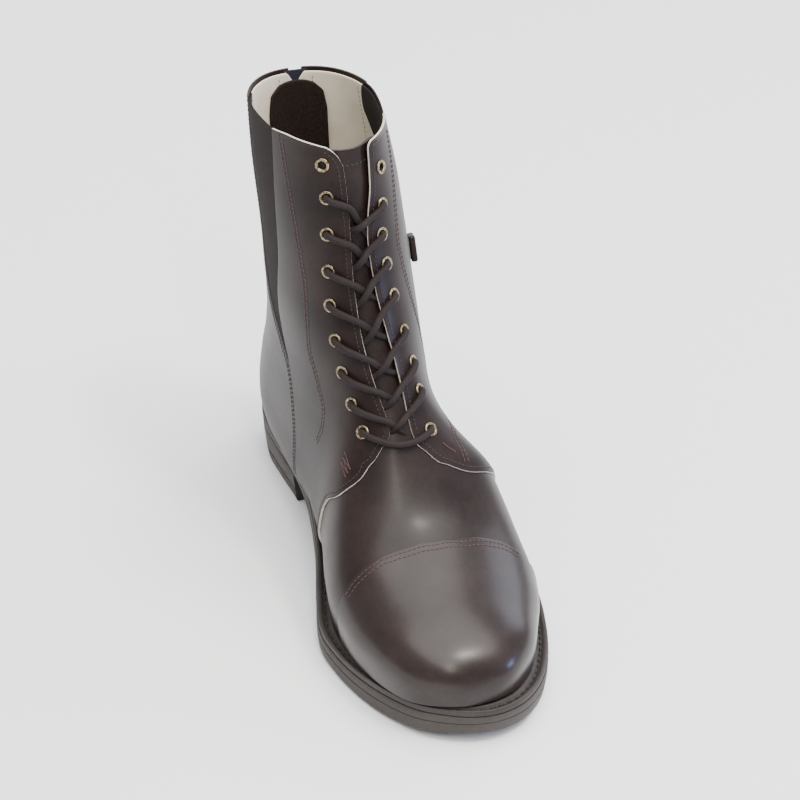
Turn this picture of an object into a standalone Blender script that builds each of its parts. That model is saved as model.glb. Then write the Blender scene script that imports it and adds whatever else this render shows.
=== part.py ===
"""A left paddock boot: lace-up derby front, elastic gores, back zip, stitched welt.

The toe points to -Y, the wearer's inner (medial) side is -X, the floor is z = 0.
Tables are in millimetres; MM turns them into metres where a mesh is made.
"""

import bmesh
import bpy
import numpy as np
from mathutils import Matrix, Vector

MM = 0.001

# Gaps and thicknesses
GAP = 0.3
UPPER_FACE = -0.9
UPPER_WALL = 1.6
SINK = 0.7
PANEL_FACE = 0.8
PANEL_WALL = 0.9
GORE_FACE = 0.4
GORE_WALL = 0.5
TONGUE_FACE = -3.3
TONGUE_WALL = 1.6
GUARD_FACE = -3.2
GUARD_WALL = 1.2

# Sole
WELT_THICK = 3.0
WELT_INSET = 3.6
HEEL_BREAST = 62.0
HEEL_TAPER = 2.6
INSOLE_INSET = 4.4
INSOLE_THICK = 4.6
INSOLE_SINK = 3.0

# Toe of the form
TOE_TIP = -133.5
TOE_FROM = -98.0
TOE_POWER = 2.6

# Collar loop seen from above
COLLAR_MIDDLE = (-19.0, 72.0)
COLLAR_HALF = (30.2, 43.5)

# Eyelets and laces
EYELET_RING = 2.75
EYELET_WIRE = 0.7
LACE_RADIUS = 1.8

# Zip
ZIP_HALF = 0.0155
ZIP_BOTTOM = 0.24
ZIP_TOP = 0.952
TEETH_HALF = 0.0098
NOTCH_HALF = 0.014
NOTCH_FROM = 0.955

# Outline of the outsole seen from above, a row per point round from the toe tip by the lateral side
OUTLINE = (
    # x, y
    (2.0, -140.0), (16.0, -137.0), (26.5, -129.5), (37.0, -115.5), (46.5, -94.0), (53.5, -68.0),
    (55.6, -48.0), (53.2, -22.0), (46.5, 8.0), (37.5, 40.0), (32.0, 66.0), (31.0, 95.0),
    (24.0, 121.0), (10.0, 136.5), (-4.0, 140.0), (-19.0, 137.0), (-31.5, 126.5), (-36.5, 107.0),
    (-36.0, 88.0), (-34.0, 64.0), (-34.0, 38.0), (-39.5, 5.0), (-48.6, -28.0), (-55.0, -54.0),
    (-53.4, -74.0), (-47.5, -95.0), (-39.5, -112.0), (-28.5, -127.0), (-13.5, -136.5),
)

# Grooves across the tread
GROOVE_WIDE = 2.4
GROOVE_DEEP = 1.4
SOLE_GROOVES = (
    # y, left x, right x
    (-88.0, -36.0, 34.0), (-74.0, -38.0, 38.0), (-50.0, -38.0, 40.0), (-37.0, -36.0, 38.0),
)
HEEL_GROOVES = (
    # y, left x, right x
    (78.0, -24.0, 18.0), (106.0, -22.0, 16.0), (118.0, -18.0, 11.0),
)

# Underside of the outsole along the boot: toe spring, flat tread, arch and heel seat
UNDERSIDE = (
    # y, z
    (-140.0, 5.5), (-122.0, 2.2), (-104.0, 0.4), (-92.0, 0.0), (-30.0, 0.0), (-14.0, 0.9),
    (8.0, 4.6), (30.0, 10.0), (50.0, 14.6), (62.0, 16.6), (100.0, 18.6), (140.0, 19.0),
)

# Sections of the foot across the boot
FOOT = (
    # y, feather z, ridge z, centre x, rise to widest, tuck medial, tuck lateral, side power, top power,
    # medial x, lateral x
    (-133.5, 19.5, 44.0, -6.0, 11.0, 1.0, 1.0, 2.3, 2.2, -15.5, 8.5),
    (-131.0, 19.3, 45.0, -6.0, 11.2, 1.0, 1.0, 2.3, 2.2, -22.5, 14.5),
    (-125.0, 18.5, 46.5, -6.0, 11.6, 1.0, 1.0, 2.3, 2.2, -31.5, 21.5),
    (-115.0, 17.6, 48.5, -6.0, 12.2, 1.2, 1.2, 2.3, 2.2, -38.5, 30.0),
    (-100.0, 16.5, 51.5, -6.5, 13.0, 1.5, 1.5, 2.2, 2.1, -44.5, 37.0),
    (-80.0, 15.2, 57.5, -7.0, 14.0, 2.0, 2.0, 2.1, 2.0, -49.5, 45.0),
    (-60.0, 15.0, 67.0, -7.0, 15.5, 2.5, 2.2, 2.0, 2.0, -51.0, 48.5),
    (-40.0, 16.3, 85.0, -7.3, 17.5, 4.0, 2.8, 2.0, 1.9, -48.5, 48.0),
    (-20.0, 18.8, 112.0, -7.6, 20.0, 6.0, 3.3, 1.9, 1.8, -44.0, 45.5),
    (0.0, 21.5, 144.0, -8.0, 22.0, 7.0, 4.0, 1.9, 1.8, -41.0, 42.0),
    (40.0, 26.5, 200.0, -9.0, 24.0, 5.0, 4.0, 2.0, 1.9, -39.0, 36.0),
    (80.0, 28.5, 225.0, -8.0, 24.0, 3.0, 3.0, 2.0, 2.0, -39.0, 30.0),
    (139.0, 29.0, 240.0, -7.0, 24.0, 2.0, 2.0, 2.0, 2.0, -9.0, -6.0),
)

# Level sections of the heel, ankle and leg
SHAFT = (
    # z, front y, back y, centre y, centre x, medial half, lateral half, side power, depth power
    (28.0, -110.0, 136.5, 85.0, -5.5, 33.5, 31.0, 2.3, 2.5),
    (50.0, -90.0, 137.5, 85.0, -5.5, 34.5, 32.0, 2.2, 2.5),
    (70.0, -57.0, 134.5, 80.0, -7.0, 33.5, 33.0, 2.0, 2.3),
    (90.0, -34.0, 129.0, 72.0, -9.0, 32.0, 34.0, 2.0, 2.0),
    (110.0, -20.0, 123.0, 67.0, -11.0, 31.0, 34.5, 2.0, 2.0),
    (130.0, -8.0, 119.5, 64.0, -13.0, 31.0, 34.5, 2.0, 2.0),
    (155.0, 6.0, 117.5, 68.0, -15.0, 30.5, 34.5, 2.0, 2.0),
    (190.0, 20.0, 116.5, 76.0, -17.5, 31.0, 33.5, 2.2, 2.0),
    (222.0, 28.0, 116.0, 84.0, -19.5, 30.5, 30.0, 2.5, 1.8),
)

# Middle line of the leg that the upper's points are measured from
CORE = (
    # v, x, y, z
    (0.0, -7.0, 45.0, 50.0),
    (0.4, -9.0, 50.0, 74.0),
    (0.6, -11.5, 57.0, 106.0),
    (0.8, -15.0, 66.0, 162.0),
    (1.0, -18.0, 72.0, 225.0),
)

# Height of the collar along the boot
COLLAR_HEIGHT = (
    # y, z
    (25.0, 223.0), (35.0, 225.5), (45.0, 225.0), (60.0, 222.5), (97.0, 222.0), (116.0, 221.5),
)

# On the upper, u runs round the boot (0 at the toe and throat, 0.5 at the back seam) and v up it.
# Front edge of the two quarters: side edge, flap, throat corner, then the facing up to the collar
QUARTER_FRONT = (
    # v, medial u, lateral u
    (0.0, 0.242, 0.242), (0.10, 0.237, 0.237), (0.20, 0.227, 0.228), (0.268, 0.2135, 0.215),
    (0.333, 0.190, 0.1945), (0.383, 0.170, 0.171), (0.433, 0.145, 0.147), (0.461, 0.129, 0.127),
    (0.485, 0.100, 0.108), (0.509, 0.067, 0.083), (0.536, 0.020, 0.0745), (0.555, 0.013, 0.0735),
    (0.59, 0.024, 0.0755), (0.64, 0.039, 0.071), (0.69, 0.047, 0.058), (0.77, 0.039, 0.039),
    (0.83, 0.027, 0.035), (0.87, 0.020, 0.044), (0.92, 0.017, 0.057), (1.0, 0.020, 0.051),
)
# Back edge of the quarters: side seam, then the front edge of the gore
QUARTER_BACK = (
    # v, u
    (0.0, 0.302), (0.106, 0.294), (0.25, 0.290), (0.40, 0.292), (0.45, 0.296), (0.50, 0.2955),
    (0.56, 0.290), (0.617, 0.2815), (0.70, 0.265), (0.80, 0.243), (0.90, 0.2175), (1.0, 0.190),
)
# Back edge of the gore
GORE_BACK = (
    # v, u
    (0.40, 0.294), (0.43, 0.304), (0.50, 0.321), (0.62, 0.333), (0.80, 0.331), (1.0, 0.3225),
)
# Rounded top corners of the facings
CORNER_FROM = (0.955, 0.980)
CORNER_WIDE = (0.055, 0.020)

# Seam of the toe cap
CAP_SEAM = (
    # u, v
    (-0.174, 0.100), (-0.170, 0.160), (-0.163, 0.210), (-0.147, 0.260), (-0.1285, 0.290),
    (-0.08, 0.314), (0.0, 0.327), (0.08, 0.320), (0.1337, 0.296), (0.160, 0.252),
    (0.172, 0.200), (0.177, 0.140),
)

# Eyelets, a row per pair from the top
EYELETS = (
    # medial u, medial v, lateral u, lateral v
    (0.0708, 0.962, 0.0977, 0.938),
    (0.0765, 0.9043, 0.0992, 0.8765),
    (0.0960, 0.8412, 0.0900, 0.8318),
    (0.1164, 0.7786, 0.0974, 0.7840),
    (0.1340, 0.7225, 0.1113, 0.7324),
    (0.1400, 0.6678, 0.1298, 0.6722),
    (0.1412, 0.6169, 0.1440, 0.6158),
    (0.1358, 0.5672, 0.1430, 0.5690),
    (0.1192, 0.5266, 0.1359, 0.5082),
)
CROSSING_DROP = 0.024

BROWN = (0.075, 0.052, 0.047, 1.0)
CAP_BROWN = (0.085, 0.060, 0.053, 1.0)
RUBBER = (0.085, 0.072, 0.067, 1.0)
ELASTIC = (0.040, 0.028, 0.027, 1.0)
CREAM = (0.72, 0.62, 0.48, 1.0)
LACE = (0.045, 0.033, 0.034, 1.0)
BRASS = (0.50, 0.42, 0.28, 1.0)
TAPE = (0.018, 0.018, 0.028, 1.0)


# Clear the scene and make the collection

for old in list(bpy.data.objects):
    bpy.data.objects.remove(old, do_unlink=True)
boot = bpy.data.collections.new("paddock_boot")
bpy.context.scene.collection.children.link(boot)


def material(name, color, roughness, metallic=0.0):
    made = bpy.data.materials.new(name)
    made.use_nodes = True
    shader = made.node_tree.nodes["Principled BSDF"]
    shader.inputs["Base Color"].default_value = color
    shader.inputs["Roughness"].default_value = roughness
    shader.inputs["Metallic"].default_value = metallic
    made.diffuse_color = color
    return made


LEATHER_MAT = material("leather", BROWN, 0.38)
CAP_MAT = material("cap_leather", CAP_BROWN, 0.34)
RUBBER_MAT = material("sole_rubber", RUBBER, 0.62)
WELT_MAT = material("welt", RUBBER, 0.55)
ELASTIC_MAT = material("elastic", ELASTIC, 0.85)
INSOLE_MAT = material("insole", CREAM, 0.7)
LACE_MAT = material("lace", LACE, 0.8)
BRASS_MAT = material("brass", BRASS, 0.35, 1.0)
TAPE_MAT = material("zip_tape", TAPE, 0.8)
GUARD_MAT = material("guard", BROWN, 0.85)


# Curves and the form of the upper


def column(rows, x, k):
    """Column k of a table as a smooth curve over column 0 that stays between its rows."""
    table = np.array(rows, float)
    a, b = table[:, 0], table[:, k]
    step = np.diff(b) / np.diff(a)
    product = step[:-1] * step[1:]
    total = np.where(product > 0, step[:-1] + step[1:], 1.0)
    inner = np.where(product > 0, 2 * product / total, 0.0)
    slope = np.concatenate([[step[0]], inner, [step[-1]]])
    x = np.clip(x, a[0], a[-1])
    i = np.clip(np.searchsorted(a, x, side="right") - 1, 0, len(a) - 2)
    h = a[i + 1] - a[i]
    t = (x - a[i]) / h
    start = b[i] * (1 + 2 * t) * (1 - t) ** 2 + slope[i] * h * t * (1 - t) ** 2
    end = b[i + 1] * t * t * (3 - 2 * t) + slope[i + 1] * h * t * t * (t - 1)
    return start + end


def outline(count, inset=0.0):
    """The outsole's outline as count points, moved inward by inset."""
    points = np.array(OUTLINE)
    total = len(points)
    place = np.arange(count) * total / count
    i = place.astype(int)
    t = (place - i)[:, None]
    a, b, c, d = (points[(i + k) % total] for k in (-1, 0, 1, 2))
    loop = 0.5 * (2 * b + (c - a) * t + (2 * a - 5 * b + 4 * c - d) * t**2)
    loop += 0.5 * (3 * b - a - 3 * c + d) * t**3
    along = np.roll(loop, -1, 0) - np.roll(loop, 1, 0)
    along /= np.linalg.norm(along, axis=1)[:, None]
    return loop + inset * np.stack([-along[:, 1], along[:, 0]], 1)


def foot(p):
    """Below zero inside the forepart and instep."""
    x, y, z = p[..., 0], p[..., 1], p[..., 2]
    low, ridge, middle, rise, tuck_m, tuck_l, side, top, medial, lateral = (
        column(FOOT, y, k) for k in range(1, 11)
    )
    widest = low + rise
    t = np.clip((TOE_FROM - y) / (TOE_FROM - TOE_TIP), 0, 1)
    rounding = np.maximum(1 - t**TOE_POWER, 0) ** (1 / TOE_POWER)
    ridge = widest + (ridge - widest) * np.maximum(rounding, 0.001)
    inner = x < middle
    half = np.where(inner, middle - medial, lateral - middle)
    down = np.clip((widest - z) / rise, 0, 3)
    half = np.maximum(half - np.where(inner, tuck_m, tuck_l) * down**2, 0.05)
    over = np.where(z > widest, np.abs(z - widest) / (ridge - widest), 0) ** top
    return (np.abs(x - middle) / half) ** side + over + np.maximum(TOE_TIP - y, 0) / 1.6 - 1


def shaft(p):
    """Below zero inside the heel, ankle and leg."""
    x, y, z = p[..., 0], p[..., 1], p[..., 2]
    front, back, middle_y, middle_x, medial, lateral, side, depth = (
        column(SHAFT, z, k) for k in range(1, 9)
    )
    tuck = 1.5 * np.clip((44 - z) / 14, 0, 1.5) ** 2
    half = np.where(x < middle_x, medial, lateral) - tuck
    deep = np.where(y > middle_y, back - middle_y, middle_y - front) - tuck
    return (np.abs(x - middle_x) / half) ** side + (np.abs(y - middle_y) / deep) ** depth - 1


def form(p):
    """The foot passes into the leg across a slanted band at the instep."""
    t = np.clip((0.8 * p[..., 1] + 0.6 * p[..., 2] - 20) / 55, 0, 1)
    w = t * t * (3 - 2 * t)
    return (1 - w) * foot(p) + w * shaft(p)


def reach(core, way, low_edge=False):
    """The point where each ray from core leaves the form; low_edge keeps it at the feather height."""
    near = np.zeros(way.shape[:-1])
    far = np.full(way.shape[:-1], 2.6)
    for _ in range(34):
        middle = (near + far) / 2
        point = core + way * middle[..., None]
        if low_edge:
            point[..., 2] = column(FOOT, point[..., 1], 1)
        inside = form(point) < 0
        near = np.where(inside, middle, near)
        far = np.where(inside, far, middle)
    point = core + way * near[..., None]
    if low_edge:
        point[..., 2] = column(FOOT, point[..., 1], 1)
    return point


def feather(u):
    """The loop where the upper meets the welt."""
    turn = 2 * np.pi * u
    y = np.clip(-110 * np.cos(turn), -72, 88)
    core = np.stack([np.interp(y, [-72, 88], [-5.0, -6.5]), y, 0 * y], -1)
    aim = np.stack([-6 + 62 * np.sin(turn), -165 * np.cos(turn), 0 * y], -1)
    return reach(core, aim - core, low_edge=True)


def collar(u):
    """The loop at the top of the leg."""
    turn = 2 * np.pi * u
    x = COLLAR_MIDDLE[0] + COLLAR_HALF[0] * np.sin(turn)
    y = COLLAR_MIDDLE[1] - COLLAR_HALF[1] * np.cos(turn)
    return np.stack([x, y, column(COLLAR_HEIGHT, y, 1)], -1)


def normal(p):
    e = 0.2
    slopes = [form(p + e * axis) - form(p - e * axis) for axis in np.eye(3)]
    slopes = np.stack(slopes, -1)
    return slopes / np.linalg.norm(slopes, axis=-1, keepdims=True)


def upper(u, v, off=0.0):
    """The point at u, v of the upper's form, pushed out by off."""
    u, v = np.broadcast_arrays(np.asarray(u, float), np.asarray(v, float))
    low, top = feather(u), collar(u)
    front = (0.5 + 0.5 * np.cos(2 * np.pi * u))[..., None]
    w = v[..., None]
    up = np.array([0, 0, 1.0])
    ahead = np.array([0, -1.0, 0])
    low_pull = low + up * (55 - 10 * front) + ahead * 4 * front
    top_pull = top - up * (60 + 25 * front) + ahead * 55 * front
    aim = (1 - w) ** 3 * low + 3 * w * (1 - w) ** 2 * low_pull
    aim += 3 * w * w * (1 - w) * top_pull + w**3 * top
    core = np.stack([column(CORE, v, k) for k in (1, 2, 3)], -1)
    forward = np.clip(low[..., 1], -104, 92) - 45
    core[..., 1] += (1 - v) ** 1.5 * forward
    core[..., 2] += (1 - v) ** 1.5 * np.interp(forward, [-149, 0, 47], [-23, -8, 0])
    point = reach(core, aim - core)
    return point + normal(point) * np.asarray(off)[..., None]


def upper_frame(u, v, off):
    """A placing matrix in metres: Z out of the upper, Y up it, X round it."""
    here = upper(u, v)
    out = Vector(normal(here))
    rise = Vector(upper(u, v + 0.004) - upper(u, v - 0.004))
    rise = (rise - out * rise.dot(out)).normalized()
    side = rise.cross(out)
    frame = Matrix((side, rise, out)).transposed().to_4x4()
    frame.translation = (Vector(here) + out * off) * MM
    return frame


def shift_u(u, v, distance):
    """The u that lies distance further round at the same v."""
    scale = np.linalg.norm(upper(u + 0.002, v) - upper(u - 0.002, v), axis=-1) / 0.004
    return u + distance / scale


# Making objects

cutters = bpy.data.collections.new("cutters")
bpy.context.scene.collection.children.link(cutters)
cutters.hide_render = True


def add_mesh(name, points, faces, mat):
    """A mesh object from points in millimetres."""
    mesh = bpy.data.meshes.new(name)
    mesh.from_pydata((np.asarray(points) * MM).tolist(), [], faces)
    mesh.materials.append(mat)
    made = bpy.data.objects.new(name, mesh)
    boot.objects.link(made)
    work = bmesh.new()
    work.from_mesh(mesh)
    bmesh.ops.remove_doubles(work, verts=work.verts, dist=0.00002)
    work.to_mesh(mesh)
    work.free()
    mesh.shade_smooth()
    mesh.set_sharp_from_angle(angle=np.radians(40))
    return made


def grid_faces(rows, columns, closed=False):
    """Quads of a grid of points, row by row."""
    faces = []
    for i in range(rows - 1):
        for j in range(columns if closed else columns - 1):
            k = (j + 1) % columns
            faces.append((i * columns + j, i * columns + k, (i + 1) * columns + k, (i + 1) * columns + j))
    return faces


def add_shell(name, surface, thickness, mat, flip=False):
    """An open surface of rows and columns of points, thickened inward."""
    rows, columns = surface.shape[:2]
    faces = grid_faces(rows, columns)
    if flip:
        faces = [face[::-1] for face in faces]
    made = add_mesh(name, surface.reshape(-1, 3), faces, mat)
    solid = made.modifiers.new("wall", "SOLIDIFY")
    solid.thickness = thickness * MM
    solid.offset = -1
    solid.use_even_offset = True
    solid.use_quality_normals = True
    return made


def add_stack(name, loops, mat):
    """A solid whose skin runs through closed loops of equal count, with flat caps."""
    count = len(loops[0])
    points = np.concatenate(loops)
    faces = grid_faces(len(loops), count, closed=True)
    faces.append(tuple(range(count))[::-1])
    faces.append(tuple(range((len(loops) - 1) * count, len(loops) * count)))
    return add_mesh(name, points, faces, mat)


def add_tube(name, route, radius, mat, sides=1):
    """A round cord along points in millimetres."""
    curve = bpy.data.curves.new(name, "CURVE")
    curve.dimensions = "3D"
    curve.bevel_depth = radius * MM
    curve.bevel_resolution = sides
    curve.use_fill_caps = True
    spline = curve.splines.new("POLY")
    spline.points.add(len(route) - 1)
    for point, place in zip(spline.points, np.asarray(route) * MM):
        point.co = (*place, 1.0)
    curve.materials.append(mat)
    made = bpy.data.objects.new(name, curve)
    boot.objects.link(made)
    return made


def smooth_route(points, count):
    """A smooth curve through points, as count points."""
    points = np.asarray(points, float)
    pad = np.concatenate([2 * points[:1] - points[1:2], points, 2 * points[-1:] - points[-2:-1]])
    place = np.linspace(0, len(points) - 1, count)
    i = np.minimum(place.astype(int), len(points) - 2)
    t = (place - i)[:, None]
    a, b, c, d = (pad[i + k] for k in range(4))
    route = 2 * b + (c - a) * t + (2 * a - 5 * b + 4 * c - d) * t**2 + (3 * b - a - 3 * c + d) * t**3
    return route / 2


# Outsole: side with a shallow step, toe spring, arch and heel seat

SOLE_COUNT = 64


def sole_top(y):
    return column(FOOT, y, 1) - GAP - WELT_THICK - GAP


def sole_bottom(y):
    return column(UNDERSIDE, y, 1)


def add_slab(name, loops, mat, bottom, top):
    """A stack of loops closed by lofted under and upper faces whose heights follow y."""
    count = len(loops[0])
    half = count // 2
    points = list(np.concatenate(loops))
    faces = grid_faces(len(loops), count, closed=True)
    for base, height, flip in ((0, bottom, True), ((len(loops) - 1) * count, top, False)):
        strips = []
        for k in range(half + 1):
            a, b = base + k, base + (count - k) % count
            if a == b:
                strips.append([a] * 3)
                continue
            middle = (np.array(points[a]) + np.array(points[b])) / 2
            middle[2] = height(middle[1])
            points.append(middle)
            strips.append([b, len(points) - 1, a])
        for one, two in zip(strips[:-1], strips[1:]):
            for j in range(2):
                face = [one[j], one[j + 1], two[j + 1], two[j]]
                face = tuple(dict.fromkeys(face))
                faces.append(face[::-1] if flip else face)
    return add_mesh(name, points, faces, mat)


SIDE_STEPS = (
    # inset, part of the height
    (2.2, 0.0), (0.4, 0.16), (0.0, 0.58), (0.7, 0.64), (0.0, 0.70), (0.8, 1.0),
)


def side_loop(inset, part, low, high):
    loop = outline(SOLE_COUNT, inset)
    z = low(loop[:, 1]) * (1 - part) + high(loop[:, 1]) * part
    return np.column_stack([loop, z])


def cut_grooves(target, places, wide):
    """Shallow grooves across the underside, kept inside its edge."""
    work = bmesh.new()
    for y, left, right in places:
        size = Matrix.Diagonal(((right - left) * MM, wide * MM, 2 * GROOVE_DEEP * MM, 1))
        here = Matrix.Translation(Vector(((left + right) / 2, y, 0)) * MM)
        bmesh.ops.create_cube(work, size=1.0, matrix=here @ size)
    mesh = bpy.data.meshes.new(target.name + "_grooves")
    work.to_mesh(mesh)
    work.free()
    cutter = bpy.data.objects.new(target.name + "_grooves", mesh)
    cutters.objects.link(cutter)
    cutter.hide_render = True
    cutter.display_type = "WIRE"
    cut = target.modifiers.new("grooves", "BOOLEAN")
    cut.operation = "DIFFERENCE"
    cut.object = cutter


outsole_loops = [side_loop(inset, part, sole_bottom, sole_top) for inset, part in SIDE_STEPS]
outsole = add_slab("outsole", outsole_loops, RUBBER_MAT, sole_bottom, sole_top)
cut_grooves(outsole, SOLE_GROOVES, GROOVE_WIDE)


# Heel block: the back of the outline, closed by a slightly hollow breast


def heel_loop(inset, z):
    loop = outline(SOLE_COUNT * 2, inset)
    curve = loop[loop[:, 1] > HEEL_BREAST]
    ends = np.linspace(0, 1, 40)
    length = np.concatenate([[0], np.cumsum(np.linalg.norm(np.diff(curve, axis=0), axis=1))])
    length /= length[-1]
    curve = np.column_stack([np.interp(ends, length, curve[:, k]) for k in (0, 1)])
    t = np.linspace(0, 1, 10)[1:-1]
    breast = curve[-1] * (1 - t)[:, None] + curve[0] * t[:, None]
    breast[:, 1] += 3.0 * np.sin(np.pi * t)
    flat = np.concatenate([curve, breast])
    return np.column_stack([flat, np.full(len(flat), z)])


heel_top = float(sole_bottom(np.array(HEEL_BREAST))) - GAP
heel_loops = [
    heel_loop(HEEL_TAPER + 1.2, 0.0),
    heel_loop(HEEL_TAPER, 1.2),
    heel_loop(HEEL_TAPER * 0.7, 6.4),
    heel_loop(HEEL_TAPER * 0.7 + 0.5, 6.8),
    heel_loop(HEEL_TAPER * 0.65, 7.2),
    heel_loop(0.4, heel_top),
]
for loop in heel_loops[-1:]:
    loop[:, 2] = sole_bottom(loop[:, 1]) - GAP
heel = add_stack("heel", heel_loops, RUBBER_MAT)
cut_grooves(heel, HEEL_GROOVES, GROOVE_WIDE)


# Welt: a ring on the outsole's rim that carries the upper


def welt_low(y):
    return sole_top(y) + GAP


def welt_high(y):
    return welt_low(y) + WELT_THICK


def feather_inset(distance, count=SOLE_COUNT):
    """The feather loop moved inward, starting at the toe and going by the lateral side."""
    loop = feather(np.arange(count) / count)[:, :2]
    along = np.roll(loop, -1, 0) - np.roll(loop, 1, 0)
    along /= np.linalg.norm(along, axis=1)[:, None]
    return loop + distance * np.stack([-along[:, 1], along[:, 0]], 1)


welt_outer = outline(SOLE_COUNT, 0.6)
fine = feather_inset(WELT_INSET, 720)
welt_inner = np.array([fine[np.argmin(np.linalg.norm(fine - p, axis=1))] for p in welt_outer])
welt_rings = []
for flat, height in (
    (welt_inner, welt_low),
    (welt_outer, welt_low),
    (welt_outer, welt_high),
    (welt_inner, welt_high),
):
    welt_rings.append(np.column_stack([flat, height(flat[:, 1])]))
welt_faces = grid_faces(5, SOLE_COUNT, closed=True)
wrap = 4 * SOLE_COUNT
welt_faces = [tuple(k % wrap for k in face) for face in welt_faces]
welt = add_mesh("welt", np.concatenate(welt_rings), welt_faces, WELT_MAT)


# Insole: the footbed inside the welt ring

insole_flat = feather_inset(INSOLE_INSET)
insole_low = np.column_stack([insole_flat, welt_low(insole_flat[:, 1])])
insole_high = insole_low + np.array([0, 0, INSOLE_THICK])
add_slab(
    "insole",
    [insole_low, insole_high],
    INSOLE_MAT,
    welt_low,
    lambda y: welt_low(y) + INSOLE_THICK,
)


# Upper: one hollow shell, open at the throat, at the collar with its back notch, and below

UPPER_ROWS = np.array([
    0.0, 0.05, 0.10, 0.16, 0.22, 0.28, 0.34, 0.39, 0.43, 0.47, 0.505, 0.53, 0.55,
    0.59, 0.64, 0.70, 0.77, 0.84, 0.91, 0.955, 1.0,
])
UPPER_COLUMNS = 54
SIDE_DENSITY = 0.32
THROAT_BACK = 0.8


def facing(v, side, back=0.0):
    """u of a quarter's front edge, moved back round the boot by a distance; side is -1 medial, 1 lateral."""
    k = 0 if side < 0 else 1
    u = column(QUARTER_FRONT, v, k + 1)
    t = np.clip((v - CORNER_FROM[k]) / (1 - CORNER_FROM[k]), 0, 1)
    u = u + CORNER_WIDE[k] * (1 - np.sqrt(1 - t**2))
    return side * shift_u(u, v, back)


def throat_edges(v):
    """Signed u of the two slit edges at each row, closed to one line below the throat."""
    open_part = np.clip((v - 0.53) / 0.015, 0, 1)
    lateral = facing(v, 1, THROAT_BACK)
    medial = facing(v, -1, THROAT_BACK)
    middle = 0.03 * np.clip((v - 0.3) / 0.2, 0, 1)
    return middle + (lateral - middle) * open_part, middle + (medial - middle) * open_part


right_edge, left_edge = throat_edges(UPPER_ROWS)
around = np.linspace(0, 1, UPPER_COLUMNS)
around += SIDE_DENSITY * np.sin(4 * np.pi * around) / (4 * np.pi)
u_grid = right_edge[:, None] + (1 + left_edge - right_edge)[:, None] * around[None, :]
v_grid = np.broadcast_to(UPPER_ROWS[:, None], u_grid.shape).copy()
notch = np.clip(1 - np.abs(u_grid - 0.5) / 0.022, 0, 1)
v_grid -= (1 - NOTCH_FROM) * notch * np.clip((v_grid - 0.9) / 0.1, 0, 1)
turn = np.abs((u_grid + 0.5) % 1 - 0.5)
bend = np.exp(-(((turn - 0.23) / 0.09) ** 2) - ((v_grid - 0.42) / 0.13) ** 2)
toe = np.exp(-((turn / 0.2) ** 4) - (v_grid / 0.26) ** 4)
add_shell("upper", upper(u_grid, v_grid, UPPER_FACE - SINK * (1.5 * bend + toe)), UPPER_WALL, LEATHER_MAT)


# Panels over the shell: quarters, gores and back panels, each between two edges at every v


def add_panel(name, v, start, end, columns, side, face, wall, mat):
    """A panel from start to end (u at each v, unsigned) on one side."""
    t = np.linspace(0, 1, columns)
    u = start[:, None] + (end - start)[:, None] * t[None, :]
    surface = upper(side * u, v[:, None], face)
    return add_shell(name, surface, wall, mat, flip=side < 0)


PANEL_LOW = 0.012
PANEL_HIGH = 0.996
QUARTER_ROWS = np.array([
    PANEL_LOW, 0.07, 0.14, 0.21, 0.27, 0.32, 0.37, 0.42, 0.46, 0.49, 0.51, 0.53, 0.55,
    0.60, 0.65, 0.71, 0.77, 0.83, 0.89, 0.94, 0.97, PANEL_HIGH,
])
GORE_ROWS = QUARTER_ROWS[QUARTER_ROWS > 0.41]
BACK_ROWS = QUARTER_ROWS

for side, label in ((-1, "medial"), (1, "lateral")):
    v = QUARTER_ROWS
    front_edge = np.abs(facing(v, side))
    back_edge = shift_u(column(QUARTER_BACK, v, 1), v, -GAP / 2)
    add_panel("quarter_" + label, v, front_edge, back_edge, 10, side, PANEL_FACE, PANEL_WALL, LEATHER_MAT)

    v = GORE_ROWS
    front_edge = shift_u(column(QUARTER_BACK, v, 1), v, GAP)
    back_edge = shift_u(column(GORE_BACK, v, 1), v, -GAP)
    add_panel("gore_" + label, v, front_edge, back_edge, 5, side, GORE_FACE, GORE_WALL, ELASTIC_MAT)

    v = BACK_ROWS
    seam = np.where(v < 0.40, column(QUARTER_BACK, v, 1), column(GORE_BACK, v, 1))
    front_edge = shift_u(seam, v, GAP / 2)
    slit = ZIP_HALF * np.clip((v - ZIP_BOTTOM + 0.02) / 0.03, 0, 1)
    back_edge = shift_u(0.5 - slit, v, -GAP)
    add_panel("back_" + label, v, front_edge, back_edge, 11, side, PANEL_FACE, PANEL_WALL, LEATHER_MAT)


# Toe cap: from the feather up to its seam

CAP_ROWS = np.array([0, 0.1, 0.2, 0.3, 0.42, 0.55, 0.7, 0.85, 1.0])
CAP_PLACES = np.concatenate([
    [-0.1725, -0.167, -0.159, -0.149], np.linspace(-0.136, 0.136, 15), [0.149, 0.159, 0.168, 0.1755],
])
seam_v = column(CAP_SEAM, CAP_PLACES, 1)
cap_v = PANEL_LOW + (seam_v - PANEL_LOW)[None, :] * CAP_ROWS[:, None]
cap_surface = upper(CAP_PLACES[None, :], cap_v, PANEL_FACE)
add_shell("toe_cap", cap_surface, PANEL_WALL, CAP_MAT)


# Tongue: under the throat, from beneath the vamp to above the facings' corners

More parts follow.
